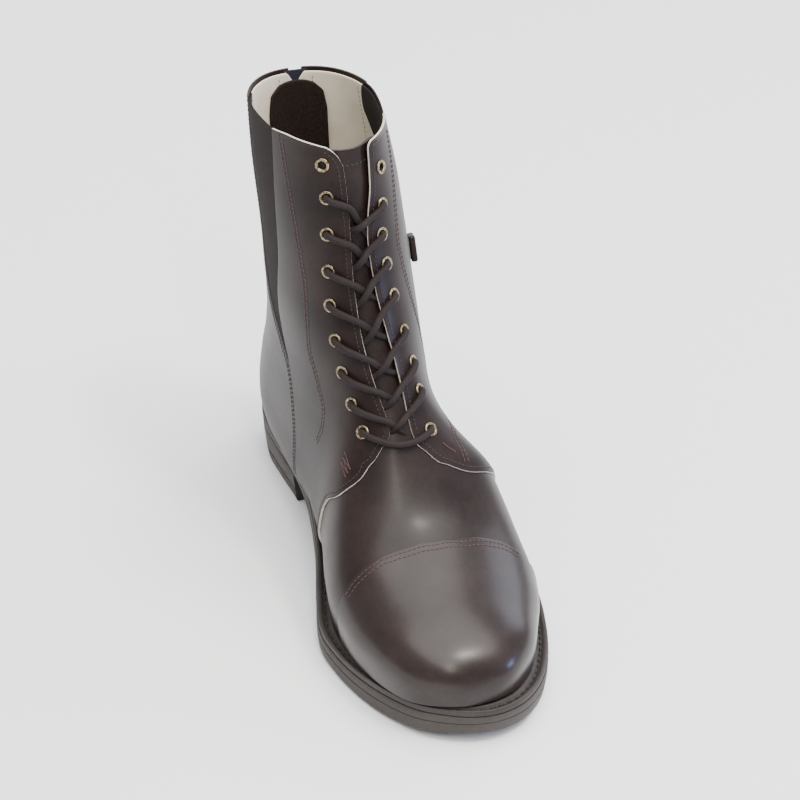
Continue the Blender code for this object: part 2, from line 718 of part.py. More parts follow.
TONGUE_ROWS = np.array([0.50, 0.53, 0.56, 0.60, 0.65, 0.70, 0.76, 0.82, 0.88, 0.93, 0.965, 0.99])
tongue_t = np.linspace(-1, 1, 9)
tongue_half = np.interp(TONGUE_ROWS, [0.50, 0.56, 0.70, 1.0], [0.050, 0.085, 0.125, 0.140])
tongue_u = 0.02 + tongue_half[:, None] * tongue_t[None, :]
tongue_v = TONGUE_ROWS[:, None] - 0.03 * np.clip((TONGUE_ROWS[:, None] - 0.9) / 0.09, 0, 1) * tongue_t**4
add_shell("tongue", upper(tongue_u, tongue_v, TONGUE_FACE), TONGUE_WALL, LEATHER_MAT)


# Zip: teeth in the groove of the back panels, a guard inside, slider and pull at the top

teeth_v = np.linspace(ZIP_BOTTOM + 0.01, ZIP_TOP - 0.014, 14)
teeth_u = 0.5 + TEETH_HALF * np.array([-1.0, 0.0, 1.0])
teeth_surface = upper(teeth_u[None, :], teeth_v[:, None], PANEL_FACE - 0.2)
add_shell("zip_teeth", teeth_surface, 0.8, TAPE_MAT)

guard_v = np.array([0.20, 0.28, 0.36, 0.44, 0.52, 0.60, 0.68, 0.76, 0.84, 0.90, 0.94, 0.965])
guard_t = np.linspace(-1, 1, 7)
guard_half = np.interp(guard_v, [0.20, 0.36, 0.88, 0.94, 0.965], [0.050, 0.066, 0.066, 0.058, 0.040])
guard_u = 0.5 + guard_half[:, None] * guard_t[None, :]
guard_rows = guard_v[:, None] - 0.012 * np.clip((guard_v[:, None] - 0.88) / 0.08, 0, 1) * guard_t**2
add_shell("zip_guard", upper(guard_u, guard_rows, GUARD_FACE), GUARD_WALL, GUARD_MAT)


def add_box(name, size, bevel, mat, frame):
    """A box with rounded edges, in millimetres, in a frame of the upper."""
    work = bmesh.new()
    bmesh.ops.create_cube(work, size=1.0)
    bmesh.ops.scale(work, verts=work.verts, vec=Vector(size) * MM)
    mesh = bpy.data.meshes.new(name)
    work.to_mesh(mesh)
    work.free()
    mesh.materials.append(mat)
    made = bpy.data.objects.new(name, mesh)
    boot.objects.link(made)
    made.matrix_world = frame
    rounded = made.modifiers.new("edges", "BEVEL")
    rounded.width = bevel * MM
    rounded.segments = 2
    return made


SLIDER = (7.4, 9.0, 3.0)
PULL = (4.4, 19.0, 1.1)
SLIDER_AT = 0.938
slider_frame = upper_frame(0.5, SLIDER_AT, PANEL_FACE + GAP + 0.5 + SLIDER[2] / 2)
add_box("zip_slider", SLIDER, 0.8, BRASS_MAT, slider_frame)
hinge_out = PANEL_FACE + GAP + 0.5 + SLIDER[2] + GAP + PULL[2] / 2
hinge_frame = upper_frame(0.5, SLIDER_AT, hinge_out)
hinge_frame.translation += hinge_frame.to_3x3() @ Vector((0, 3.2 * MM, 0))
pull_hinge = bpy.data.objects.new("pull_hinge", None)
pull_hinge.empty_display_size = 0.01
boot.objects.link(pull_hinge)
pull_hinge.matrix_world = hinge_frame
pull = add_box("zip_pull", PULL, 0.4, BRASS_MAT, Matrix.Identity(4))
pull.parent = pull_hinge
pull.location = (0, -(PULL[1] / 2 - 0.45) * MM, 0)


# Side tab: a small folded leather tab on the lateral quarter

TAB = (9.0, 13.0, 3.2)
TAB_AT = (0.268, 0.665)
tab_frame = upper_frame(*TAB_AT, PANEL_FACE + 0.5 + TAB[2] / 2)
add_box("side_tab", TAB, 0.9, LEATHER_MAT, tab_frame)


# Eyelets: brass rings on the quarters

for row, (u_m, v_m, u_l, v_l) in enumerate(EYELETS, 1):
    for label, u, v in (("m", -u_m, v_m), ("l", u_l, v_l)):
        bpy.ops.mesh.primitive_torus_add(
            major_segments=10,
            minor_segments=3,
            major_radius=EYELET_RING * MM,
            minor_radius=EYELET_WIRE * MM,
        )
        ring = bpy.context.object
        ring.name = f"eyelet_{label}{row}"
        ring.data.materials.append(BRASS_MAT)
        for old in list(ring.users_collection):
            old.objects.unlink(ring)
        boot.objects.link(ring)
        ring.matrix_world = upper_frame(u, v, PANEL_FACE + GAP + EYELET_WIRE)
        ring.data.shade_smooth()


# Laces: a bar across the lowest pair, and from each pair above two ends that meet lower in the gap

LACE_FACE = PANEL_FACE + GAP + 2 * EYELET_WIRE + GAP + LACE_RADIUS

for row, (u_m, v_m, u_l, v_l) in enumerate(EYELETS[1:], 1):
    drop = 0.0 if row == len(EYELETS) - 1 else CROSSING_DROP
    middle = np.array([(u_l - u_m) * 0.15, (v_m + v_l) / 2 - drop])
    ends = (np.array([-u_m, v_m]), np.array([u_l, v_l]))
    places = [ends[0] + (middle - ends[0]) * t for t in (0.0, 0.35, 0.75)]
    places += [middle]
    places += [ends[1] + (middle - ends[1]) * t for t in (0.75, 0.35, 0.0)]
    route = [upper(u, v, LACE_FACE) for u, v in places]
    add_tube(f"lace_{row}", smooth_route(route, 13), LACE_RADIUS, LACE_MAT)
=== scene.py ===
"""A left paddock boot: smooth brown leather, nine eyelets a side, elastic gores, back zip, stitched welt.

The toe points to -Y, the wearer's inner side is -X and the floor is z = 0. Sizes are in millimetres;
MM turns them into metres where a mesh is made.
"""

import bmesh
import bpy
import numpy as np
from mathutils import Matrix, Vector


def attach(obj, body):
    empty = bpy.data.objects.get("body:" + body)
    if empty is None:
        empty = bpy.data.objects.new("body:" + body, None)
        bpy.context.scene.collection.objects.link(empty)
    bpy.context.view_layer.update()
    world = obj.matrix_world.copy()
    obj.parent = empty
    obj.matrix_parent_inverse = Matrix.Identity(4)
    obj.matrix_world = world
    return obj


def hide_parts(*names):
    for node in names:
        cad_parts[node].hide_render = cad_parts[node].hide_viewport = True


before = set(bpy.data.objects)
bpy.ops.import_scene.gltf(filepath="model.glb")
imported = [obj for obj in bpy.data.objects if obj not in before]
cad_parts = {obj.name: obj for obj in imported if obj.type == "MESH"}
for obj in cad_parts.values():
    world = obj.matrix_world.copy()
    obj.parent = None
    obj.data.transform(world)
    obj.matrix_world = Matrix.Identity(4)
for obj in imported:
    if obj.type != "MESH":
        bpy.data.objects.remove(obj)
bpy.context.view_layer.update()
MM = 0.001


# Camera: a long lens above the toe, a little to the boot's inner side, looking down at the lacing.

EYE = (-349.2, -995.6, 813.7)
AIM_PIXEL = (91.0, -75.0)
PHOTO_FOCAL = 1870.0
EYE_YAW, EYE_PITCH, EYE_ROLL = np.radians((16.0, 36.48, -0.22))
LENS = 120.0

ahead = np.array([np.sin(EYE_YAW) * np.cos(EYE_PITCH), np.cos(EYE_YAW) * np.cos(EYE_PITCH), -np.sin(EYE_PITCH)])
level = np.array([np.cos(EYE_YAW), -np.sin(EYE_YAW), 0.0])
below = np.cross(ahead, level)
right = np.cos(EYE_ROLL) * level + np.sin(EYE_ROLL) * below
down = np.cos(EYE_ROLL) * below - np.sin(EYE_ROLL) * level
look = ahead * PHOTO_FOCAL + right * AIM_PIXEL[0] + down * AIM_PIXEL[1]
look /= np.linalg.norm(look)
across = right - look * right.dot(look)
across /= np.linalg.norm(across)
rise = np.cross(across, look)
camera_data = bpy.data.cameras.new("camera")
camera_data.lens = LENS
camera_data.sensor_width = 36.0
camera_data.clip_end = 20.0
camera = bpy.data.objects.new("camera", camera_data)
placing = Matrix((across, rise, -look)).transposed().to_4x4()
placing.translation = Vector(EYE) * MM
camera.matrix_world = placing
bpy.context.scene.collection.objects.link(camera)
bpy.context.scene.camera = camera


# Studio: a pale floor under one broad ceiling light, with a cooler fill from the outer side.


class Tone:
    """A shader value: adding, multiplying or comparing it adds its own Math node."""

    def __init__(self, tree, socket=None):
        self.tree = tree
        self.socket = socket

    def node(self, kind, inputs=None, out=0, stops=None, **settings):
        made = self.tree.nodes.new(kind)
        for key, value in settings.items():
            setattr(made, key, value)
        if stops:
            ramp = made.color_ramp
            while len(ramp.elements) < len(stops):
                ramp.elements.new(0.5)
            for element, (place, shade) in zip(ramp.elements, stops):
                element.position = place
                element.color = (shade, shade, shade, 1.0) if np.isscalar(shade) else shade
        for key, value in (inputs or {}).items():
            if isinstance(value, Tone):
                self.tree.links.new(value.socket, made.inputs[key])
            else:
                made.inputs[key].default_value = value
        return Tone(self.tree, made.outputs[out])

    def maths(self, operation, one, two=0.0, clamp=False):
        return self.node("ShaderNodeMath", {0: one, 1: two}, operation=operation, use_clamp=clamp)

    def __add__(self, other):
        return self.maths("ADD", self, other)

    def __sub__(self, other):
        return self.maths("SUBTRACT", self, other)

    def __rsub__(self, other):
        return self.maths("SUBTRACT", other, self)

    def __mul__(self, other):
        return self.maths("MULTIPLY", self, other)

    def __truediv__(self, other):
        return self.maths("DIVIDE", self, other)

    def __pow__(self, other):
        return self.maths("POWER", self, other)

    __radd__ = __add__
    __rmul__ = __mul__

    def mix(self, one, two):
        """This tone as the factor between two colours."""
        return self.node("ShaderNodeMix", {0: self, 6: one, 7: two}, out=2, data_type="RGBA", clamp_factor=True)

    def noise(self, place, scale, detail=2.0, rough=0.5, out="Fac"):
        return self.node(
            "ShaderNodeTexNoise", {"Vector": place, "Scale": scale, "Detail": detail, "Roughness": rough}, out=out
        )

    def between(self, low, high):
        """0 below low, 1 above high."""
        return self.node(
            "ShaderNodeMapRange", {"Value": self, "From Min": low, "From Max": high}, interpolation_type="SMOOTHSTEP"
        )


def new_finish(name, **fixed):
    """A material, its shader and its Object coordinates; fixed values go straight on the shader."""
    made = bpy.data.materials.new(name)
    made.use_nodes = True
    shader = made.node_tree.nodes["Principled BSDF"]
    for key, value in fixed.items():
        shader.inputs[key.replace("_", " ")].default_value = value
    place = Tone(made.node_tree).node("ShaderNodeTexCoord", out="Object")
    return made, shader, place


def feed(shader, tones):
    for key, tone in tones.items():
        tone.tree.links.new(tone.socket, shader.inputs[key])


def bump(height, strength, distance):
    return height.node(
        "ShaderNodeBump", {"Height": height, "Strength": strength, "Distance": distance}, out="Normal"
    )


def deselect():
    if bpy.context.mode != "OBJECT":
        bpy.ops.object.mode_set(mode="OBJECT")
    bpy.ops.object.select_all(action="DESELECT")


FLOOR_SIZE = 6.0
FLOOR_COLOR = (0.93, 0.935, 0.94, 1.0)

deselect()
bpy.ops.mesh.primitive_plane_add(size=FLOOR_SIZE, location=(0, 0, 0))
floor = bpy.context.object
floor.name = "floor"
floor_mat, shader, place = new_finish("floor_paper", Roughness=0.75)
mottle = place.noise(place, 3.0)
feed(shader, {"Base Color": mottle.mix(FLOOR_COLOR, (0.94, 0.945, 0.95, 1.0))})
floor.data.materials.append(floor_mat)

LIGHTS = (
    # name, place, aim, width, length, power, colour
    ("ceiling", (0.1, -0.2, 2.4), (0.0, 0.0, 0.0), 2.6, 2.6, 125.0, (1.0, 0.99, 0.975)),
    ("toe_lamp", (0.46, -0.62, 1.80), (0.0, -0.10, 0.04), 0.30, 0.20, 15.0, (1.0, 0.95, 0.86)),
    ("front_strip", (-0.12, -1.62, 1.90), (0.0, -0.04, 0.08), 0.20, 0.9, 13.0, (1.0, 0.95, 0.84)),
    ("window", (1.65, -0.95, 0.52), (0.0, -0.1, 0.05), 0.42, 0.30, 12.0, (0.42, 0.56, 1.0)),
    ("side_window", (1.9, 1.0, 1.2), (0.0, 0.0, 0.1), 1.4, 1.2, 26.0, (0.80, 0.88, 1.0)),
)
for name, spot, aim, wide, long, power, color in LIGHTS:
    lamp_data = bpy.data.lights.new(name, "AREA")
    lamp_data.shape = "RECTANGLE"
    lamp_data.size, lamp_data.size_y = wide, long
    lamp_data.energy = power
    lamp_data.color = color
    lamp = bpy.data.objects.new(name, lamp_data)
    lamp.location = spot
    lamp.rotation_euler = (Vector(aim) - Vector(spot)).to_track_quat("-Z", "Y").to_euler()
    bpy.context.scene.collection.objects.link(lamp)

world = bpy.data.worlds.new("studio")
world.use_nodes = True
world.node_tree.nodes["Background"].inputs["Color"].default_value = (0.95, 0.97, 1.0, 1.0)
world.node_tree.nodes["Background"].inputs["Strength"].default_value = 0.80
bpy.context.scene.world = world


# Lining: cream leather and cloth inside the whole boot, pulled over the last before the outer leather.
# The form of that last gives every piece of the upper its place: u runs round the boot (0 at the toe
# and throat, 0.5 at the back seam, + on the outer side) and v up it, from the welt to the collar.

FOOT = (
    # y, feather z, ridge z, centre x, rise to widest, tuck medial, tuck lateral, side power, top power,
    # medial x, lateral x
    (-133.5, 19.5, 44.0, -6.0, 11.0, 1.0, 1.0, 2.3, 2.2, -15.5, 8.5),
    (-131.0, 19.3, 45.0, -6.0, 11.2, 1.0, 1.0, 2.3, 2.2, -22.5, 14.5),
    (-125.0, 18.5, 46.5, -6.0, 11.6, 1.0, 1.0, 2.3, 2.2, -31.5, 21.5),
    (-115.0, 17.6, 48.5, -6.0, 12.2, 1.2, 1.2, 2.3, 2.2, -38.5, 30.0),
    (-100.0, 16.5, 51.5, -6.5, 13.0, 1.5, 1.5, 2.2, 2.1, -44.5, 37.0),
    (-80.0, 15.2, 57.5, -7.0, 14.0, 2.0, 2.0, 2.1, 2.0, -49.5, 45.0),
    (-60.0, 15.0, 67.0, -7.0, 15.5, 2.5, 2.2, 2.0, 2.0, -51.0, 48.5),
    (-40.0, 16.3, 85.0, -7.3, 17.5, 4.0, 2.8, 2.0, 1.9, -48.5, 48.0),
    (-20.0, 18.8, 112.0, -7.6, 20.0, 6.0, 3.3, 1.9, 1.8, -44.0, 45.5),
    (0.0, 21.5, 144.0, -8.0, 22.0, 7.0, 4.0, 1.9, 1.8, -41.0, 42.0),
    (40.0, 26.5, 200.0, -9.0, 24.0, 5.0, 4.0, 2.0, 1.9, -39.0, 36.0),
    (80.0, 28.5, 225.0, -8.0, 24.0, 3.0, 3.0, 2.0, 2.0, -39.0, 30.0),
    (139.0, 29.0, 240.0, -7.0, 24.0, 2.0, 2.0, 2.0, 2.0, -9.0, -6.0),
)
SHAFT = (
    # z, front y, back y, centre y, centre x, medial half, lateral half, side power, depth power
    (28.0, -110.0, 136.5, 85.0, -5.5, 33.5, 31.0, 2.3, 2.5),
    (50.0, -90.0, 137.5, 85.0, -5.5, 34.5, 32.0, 2.2, 2.5),
    (70.0, -57.0, 134.5, 80.0, -7.0, 33.5, 33.0, 2.0, 2.3),
    (90.0, -34.0, 129.0, 72.0, -9.0, 32.0, 34.0, 2.0, 2.0),
    (110.0, -20.0, 123.0, 67.0, -11.0, 31.0, 34.5, 2.0, 2.0),
    (130.0, -8.0, 119.5, 64.0, -13.0, 31.0, 34.5, 2.0, 2.0),
    (155.0, 6.0, 117.5, 68.0, -15.0, 30.5, 34.5, 2.0, 2.0),
    (190.0, 20.0, 116.5, 76.0, -17.5, 31.0, 33.5, 2.2, 2.0),
    (222.0, 28.0, 116.0, 84.0, -19.5, 30.5, 30.0, 2.5, 1.8),
)
CORE = (
    # v, x, y, z
    (0.0, -7.0, 45.0, 50.0), (0.4, -9.0, 50.0, 74.0), (0.6, -11.5, 57.0, 106.0),
    (0.8, -15.0, 66.0, 162.0), (1.0, -18.0, 72.0, 225.0),
)
COLLAR_HEIGHT = (
    # y, z
    (25.0, 223.0), (35.0, 225.5), (45.0, 225.0), (60.0, 222.5), (97.0, 222.0), (116.0, 221.5),
)
COLLAR_MIDDLE = (-19.0, 72.0)
COLLAR_HALF = (30.2, 43.5)
TOE_TIP, TOE_FROM, TOE_POWER = -133.5, -98.0, 2.6


def column(rows, x, k):
    """Column k of a table as a smooth curve over column 0 that stays between its rows."""
    table = np.array(rows, float)
    a, b = table[:, 0], table[:, k]
    step = np.diff(b) / np.diff(a)
    product = step[:-1] * step[1:]
    total = np.where(product > 0, step[:-1] + step[1:], 1.0)
    inner = np.where(product > 0, 2 * product / total, 0.0)
    slope = np.concatenate([[step[0]], inner, [step[-1]]])
    x = np.clip(x, a[0], a[-1])
    i = np.clip(np.searchsorted(a, x, side="right") - 1, 0, len(a) - 2)
    h = a[i + 1] - a[i]
    t = (x - a[i]) / h
    start = b[i] * (1 + 2 * t) * (1 - t) ** 2 + slope[i] * h * t * (1 - t) ** 2
    return start + b[i + 1] * t * t * (3 - 2 * t) + slope[i + 1] * h * t * t * (t - 1)


def foot(p):
    """Below zero inside the forepart and instep."""
    x, y, z = p[..., 0], p[..., 1], p[..., 2]
    low, ridge, middle, lift, tuck_m, tuck_l, side, top, medial, lateral = (
        column(FOOT, y, k) for k in range(1, 11)
    )
    widest = low + lift
    t = np.clip((TOE_FROM - y) / (TOE_FROM - TOE_TIP), 0, 1)
    rounding = np.maximum(1 - t**TOE_POWER, 0) ** (1 / TOE_POWER)
    ridge = widest + (ridge - widest) * np.maximum(rounding, 0.001)
    inner = x < middle
    half = np.where(inner, middle - medial, lateral - middle)
    lower = np.clip((widest - z) / lift, 0, 3)
    half = np.maximum(half - np.where(inner, tuck_m, tuck_l) * lower**2, 0.05)
    over = np.where(z > widest, np.abs(z - widest) / (ridge - widest), 0) ** top
    return (np.abs(x - middle) / half) ** side + over + np.maximum(TOE_TIP - y, 0) / 1.6 - 1


def shaft(p):
    """Below zero inside the heel, ankle and leg."""
    x, y, z = p[..., 0], p[..., 1], p[..., 2]
    front, back, middle_y, middle_x, medial, lateral, side, depth = (
        column(SHAFT, z, k) for k in range(1, 9)
    )
    tuck = 1.5 * np.clip((44 - z) / 14, 0, 1.5) ** 2
    half = np.where(x < middle_x, medial, lateral) - tuck
    deep = np.where(y > middle_y, back - middle_y, middle_y - front) - tuck
    return (np.abs(x - middle_x) / half) ** side + (np.abs(y - middle_y) / deep) ** depth - 1


def form(p):
    """The foot passes into the leg across a slanted band at the instep."""
    t = np.clip((0.8 * p[..., 1] + 0.6 * p[..., 2] - 20) / 55, 0, 1)
    w = t * t * (3 - 2 * t)
    return (1 - w) * foot(p) + w * shaft(p)


def reach(core, way, low_edge=False):
    """The point where each ray from core leaves the form; low_edge keeps it at the feather height."""
    near = np.zeros(way.shape[:-1])
    far = np.full(way.shape[:-1], 2.6)
    for _ in range(24):
        middle = (near + far) / 2
        point = core + way * middle[..., None]
        if low_edge:
            point[..., 2] = column(FOOT, point[..., 1], 1)
        inside = form(point) < 0
        near = np.where(inside, middle, near)
        far = np.where(inside, far, middle)
    point = core + way * near[..., None]
    if low_edge:
        point[..., 2] = column(FOOT, point[..., 1], 1)
    return point


def feather(u):
    """The loop where the upper meets the welt."""
    turn = 2 * np.pi * u
    y = np.clip(-110 * np.cos(turn), -72, 88)
    core = np.stack([np.interp(y, [-72, 88], [-5.0, -6.5]), y, 0 * y], -1)
    aim = np.stack([-6 + 62 * np.sin(turn), -165 * np.cos(turn), 0 * y], -1)
    return reach(core, aim - core, low_edge=True)


def collar(u):
    """The loop at the top of the leg."""
    turn = 2 * np.pi * u
    x = COLLAR_MIDDLE[0] + COLLAR_HALF[0] * np.sin(turn)
    y = COLLAR_MIDDLE[1] - COLLAR_HALF[1] * np.cos(turn)
    return np.stack([x, y, column(COLLAR_HEIGHT, y, 1)], -1)


def last_points(u, v):
    """Points of the last, each on its own ray from the middle line of foot and leg."""
    low, top = feather(u), collar(u)
    front = (0.5 + 0.5 * np.cos(2 * np.pi * u))[..., None]
    w = v[..., None]
    low_pull = low + np.array([0, 0, 1.0]) * (55 - 10 * front) + np.array([0, -1.0, 0]) * 4 * front
    top_pull = top - np.array([0, 0, 1.0]) * (60 + 25 * front) + np.array([0, -1.0, 0]) * 55 * front
    aim = (1 - w) ** 3 * low + 3 * w * (1 - w) ** 2 * low_pull + 3 * w * w * (1 - w) * top_pull + w**3 * top
    core = np.stack([column(CORE, v, k) for k in (1, 2, 3)], -1)
    forward = np.clip(low[..., 1], -104, 92) - 45
    core[..., 1] += (1 - v) ** 1.5 * forward
    core[..., 2] += (1 - v) ** 1.5 * np.interp(forward, [-149, 0, 47], [-23, -8, 0])
    return reach(core, aim - core)


LAST_ROUND, LAST_UP = 360, 181
last_v, last_u = np.meshgrid(np.linspace(0, 1, LAST_UP), np.arange(LAST_ROUND) / LAST_ROUND, indexing="ij")
last_places = last_points(last_u, last_v)
toe_part = np.exp(-((((last_u + 0.5) % 1 - 0.5) / 0.13) ** 4) - (last_v / 0.30) ** 4)[..., None]
for _ in range(30):
    padded = np.concatenate([
        2 * last_places[:1] - last_places[1:2], last_places, 2 * last_places[-1:] - last_places[-2:-1],
    ])
    even = (np.roll(last_places, 1, 1) + np.roll(last_places, -1, 1) + padded[:-2] + padded[2:]) / 4
    last_places = last_places + 0.6 * toe_part * (even - last_places)
round_way = np.roll(last_places, -1, 1) - np.roll(last_places, 1, 1)
last_out = np.cross(round_way, np.gradient(last_places, axis=0))
last_out /= np.linalg.norm(last_out, axis=-1, keepdims=True)
last_table = np.concatenate([last_places, last_out], -1)
last_table = np.concatenate([
    2 * last_table[:1] - last_table[1:2], last_table, 2 * last_table[-1:] - last_table[-2:-1],
])


def last_at(u, v):
    """Place and outward direction on the last, read smoothly from its table."""
    u, v = np.broadcast_arrays(np.asarray(u, float), np.asarray(v, float))
    x = (u % 1) * LAST_ROUND
    y = np.clip(v, 0, 1) * (LAST_UP - 1)
    i = np.floor(x).astype(int)
    j = np.minimum(np.floor(y).astype(int), LAST_UP - 2)

    def weights(t):
        t = t[..., None]
        return np.concatenate([
            -0.5 * t + t * t - 0.5 * t**3, 1 - 2.5 * t * t + 1.5 * t**3,
            0.5 * t + 2 * t * t - 1.5 * t**3, -0.5 * t * t + 0.5 * t**3,
        ], -1)

    wx, wy = weights(x - i), weights(y - j)
    total = 0
    for a in range(4):
        for b in range(4):
            cell = last_table[j + b, (i + a - 1) % LAST_ROUND]
            total = total + cell * (wx[..., a] * wy[..., b])[..., None]
    return total[..., :3], total[..., 3:]


def upper(u, v, off=0.0):
    """Points at u, v pushed out from the last by off."""
    point, out = last_at(u, v)
    out = out / np.linalg.norm(out, axis=-1, keepdims=True)
    return point + out * np.asarray(off)[..., None]


def upper_frame(u, v, off):
    """A placing matrix in metres: Z out of the upper, Y up it, X round it."""
    here, out = last_at(u, v)
    out = Vector(out).normalized()
    lift = Vector(upper(u, v + 0.004) - upper(u, v - 0.004))
    lift = (lift - out * lift.dot(out)).normalized()
    made = Matrix((lift.cross(out), lift, out)).transposed().to_4x4()
    made.translation = (Vector(here) + out * off) * MM
    return made


def shift_u(u, v, distance):
    """The u that lies distance further round at the same v."""
    scale = np.linalg.norm(upper(u + 0.002, v) - upper(u - 0.002, v), axis=-1) / 0.004
    return u + distance / scale


def beside(u, v, distance):
    """A line moved sideways over the upper, to the right hand of its run as seen from outside."""
    point, out = last_at(u, v)
    run = np.gradient(point, axis=0)
    run /= np.linalg.norm(run, axis=1)[:, None]
    away = np.cross(run, out)
    away /= np.linalg.norm(away, axis=1)[:, None]
    round_step = (upper(u + 0.002, v) - upper(u - 0.002, v)) / 0.004
    up_step = (upper(u, np.clip(v + 0.003, 0, 1)) - upper(u, np.clip(v - 0.003, 0, 1))) / 0.006
    g11, g12, g22 = (round_step**2).sum(1), (round_step * up_step).sum(1), (up_step**2).sum(1)
    b1, b2 = (round_step * away).sum(1), (up_step * away).sum(1)
    det = g11 * g22 - g12**2
    du, dv = (b1 * g22 - b2 * g12) / det, (b2 * g11 - b1 * g12) / det
    return u + du * distance, v + dv * distance


def even_rows(low, high, count, edge):
    """count heights from low to high, evenly spaced along an edge given as a function of height."""
    v = np.linspace(low, high, 1200)
    step = np.linalg.norm(np.diff(upper(edge(v), v), axis=0), axis=1)
    run = np.concatenate([[0], np.cumsum(step)])
    return np.interp(np.linspace(0, run[-1], count), run, v)


def skin(name, u, v, face, wall, mats, rim=0, holes=(), hole_radius=2.5, round_edges=0.25, shades=None):
    """A sheet of leather on the last: a grid laid on its places, given its wall and soft edges."""
    rows, columns = u.shape
    deselect()
    bpy.ops.mesh.primitive_grid_add(x_subdivisions=columns - 1, y_subdivisions=rows - 1, size=1.0)
    made = bpy.context.object
    made.name = made.data.name = name
    mesh = made.data
    places = upper(u, v, face).reshape(-1, 3)
    mesh.vertices.foreach_set("co", (places * MM).ravel())
    corner = np.zeros(len(mesh.loops), np.int32)
    mesh.loops.foreach_get("vertex_index", corner)
    flat = np.stack([u.ravel(), v.ravel()], 1)[corner]
    mesh.uv_layers[0].data.foreach_set("uv", flat.ravel())
    for mat in mats:
        mesh.materials.append(mat)
    if shades is not None:
        mesh.polygons.foreach_set("material_index", np.ascontiguousarray(shades, np.int32).ravel())
    if len(holes):
        shape = bmesh.new()
        shape.from_mesh(mesh)
        gone = [
            f for f in shape.faces
            if min((f.calc_center_median() - Vector(h) * MM).length for h in holes) < hole_radius * MM
        ]
        bmesh.ops.delete(shape, geom=gone, context="FACES")
        shape.to_mesh(mesh)
        shape.free()
    solid = made.modifiers.new("wall", "SOLIDIFY")
    solid.thickness = wall * MM
    solid.offset = -1
    solid.use_even_offset = True
    solid.material_offset_rim = rim
    bpy.ops.object.modifier_apply(modifier="wall")
    if round_edges:
        soft = made.modifiers.new("soft", "BEVEL")
        soft.width = round_edges * MM
        soft.segments = 2
        soft.limit_method = "ANGLE"
        soft.angle_limit = np.radians(50)
        soft.use_clamp_overlap = True
        bpy.ops.object.modifier_apply(modifier="soft")
    mesh.shade_smooth()
    return made


CREAM_COLOR = (0.80, 0.72, 0.58, 1.0)
CREAM_SHADE = (0.70, 0.61, 0.46, 1.0)
LINING_BROWN = (0.020, 0.0135, 0.012, 1.0)
LINING_FACE, LINING_WALL = -0.55, 0.7
LINING_ROWS = np.concatenate([np.linspace(0.006, 0.5, 34), np.linspace(0.51, 0.986, 52)])

lining_mat, shader, place = new_finish("lining_leather", Roughness=0.72)
cloud = place.noise(place, 60, 3)
pores = place.noise(place, 2600, 2)
feed(shader, {
    "Base Color": cloud.between(0.3, 0.7).mix(CREAM_SHADE, CREAM_COLOR),
    "Normal": bump(pores, 0.25, 0.0002),
})

inner_brown, shader, place = new_finish("inner_brown", Roughness=0.8)
cloud = place.noise(place, 300, 3)
feed(shader, {
    "Base Color": cloud.mix((0.012, 0.008, 0.007, 1.0), LINING_BROWN),
    "Normal": bump(cloud, 0.3, 0.0003),
})

QUARTER_FRONT = (
    # v, medial u, lateral u
    (0.0, 0.242, 0.242), (0.10, 0.237, 0.237), (0.20, 0.227, 0.228), (0.268, 0.2135, 0.215),
    (0.333, 0.190, 0.1945), (0.383, 0.170, 0.171), (0.433, 0.145, 0.147), (0.461, 0.129, 0.127),
    (0.485, 0.100, 0.108), (0.509, 0.067, 0.083), (0.536, 0.020, 0.0745), (0.555, 0.013, 0.0735),
    (0.59, 0.024, 0.0755), (0.64, 0.039, 0.071), (0.69, 0.047, 0.058), (0.77, 0.039, 0.039),
    (0.83, 0.027, 0.035), (0.87, 0.020, 0.044), (0.92, 0.017, 0.057), (1.0, 0.020, 0.051),
)
CORNER_FROM = (0.955, 0.980)
CORNER_WIDE = (0.055, 0.020)


def facing(v, side, back=0.0):
    """u of a quarter's front edge, moved back round the boot by a distance; side is -1 medial, 1 lateral."""
    k = 0 if side < 0 else 1
    u = column(QUARTER_FRONT, v, k + 1)
    t = np.clip((v - CORNER_FROM[k]) / (1 - CORNER_FROM[k]), 0, 1)
    u = u + CORNER_WIDE[k] * (1 - np.sqrt(1 - t**2))
    return side * shift_u(u, v, back)


open_part = np.clip((LINING_ROWS - 0.50) / 0.04, 0, 1)
start = 0.03 + (facing(LINING_ROWS, 1, 1.6) - 0.03) * open_part
end = 0.03 + (facing(LINING_ROWS, -1, 1.6) - 0.03) * open_part
t = np.linspace(0, 1, 150)
u = start[:, None] + (1 + end - start)[:, None] * t[None, :]
v = np.broadcast_to(LINING_ROWS[:, None], u.shape).copy()
v -= 0.042 * np.clip(1 - np.abs(u - 0.5) / 0.022, 0, 1) * np.clip((v - 0.9) / 0.09, 0, 1)
low_row = np.argmin(np.abs(LINING_ROWS - 0.9))
middle_turn = (u[low_row, :-1] + u[low_row, 1:]) / 2
brown = np.abs(middle_turn - 0.5) > 0.163
shades = (LINING_ROWS[:-1, None] > 0.45) & brown[None, :]
lining = skin("lining", u, v, LINING_FACE, LINING_WALL, [lining_mat, inner_brown], shades=shades)
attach(lining, "boot")


# Leather of the upper: smooth drum-dyed cowhide, corrected grain with a soft wax finish. Cut edges stay
# pale where the dye does not reach them.

LEATHER_DEEP = (0.0095, 0.0052, 0.0048, 1.0)
LEATHER_WARM = (0.0190, 0.0108, 0.0094, 1.0)
EDGE_RAW = (0.66, 0.60, 0.52, 1.0)
EDGE_DARK = (0.020, 0.013, 0.012, 1.0)


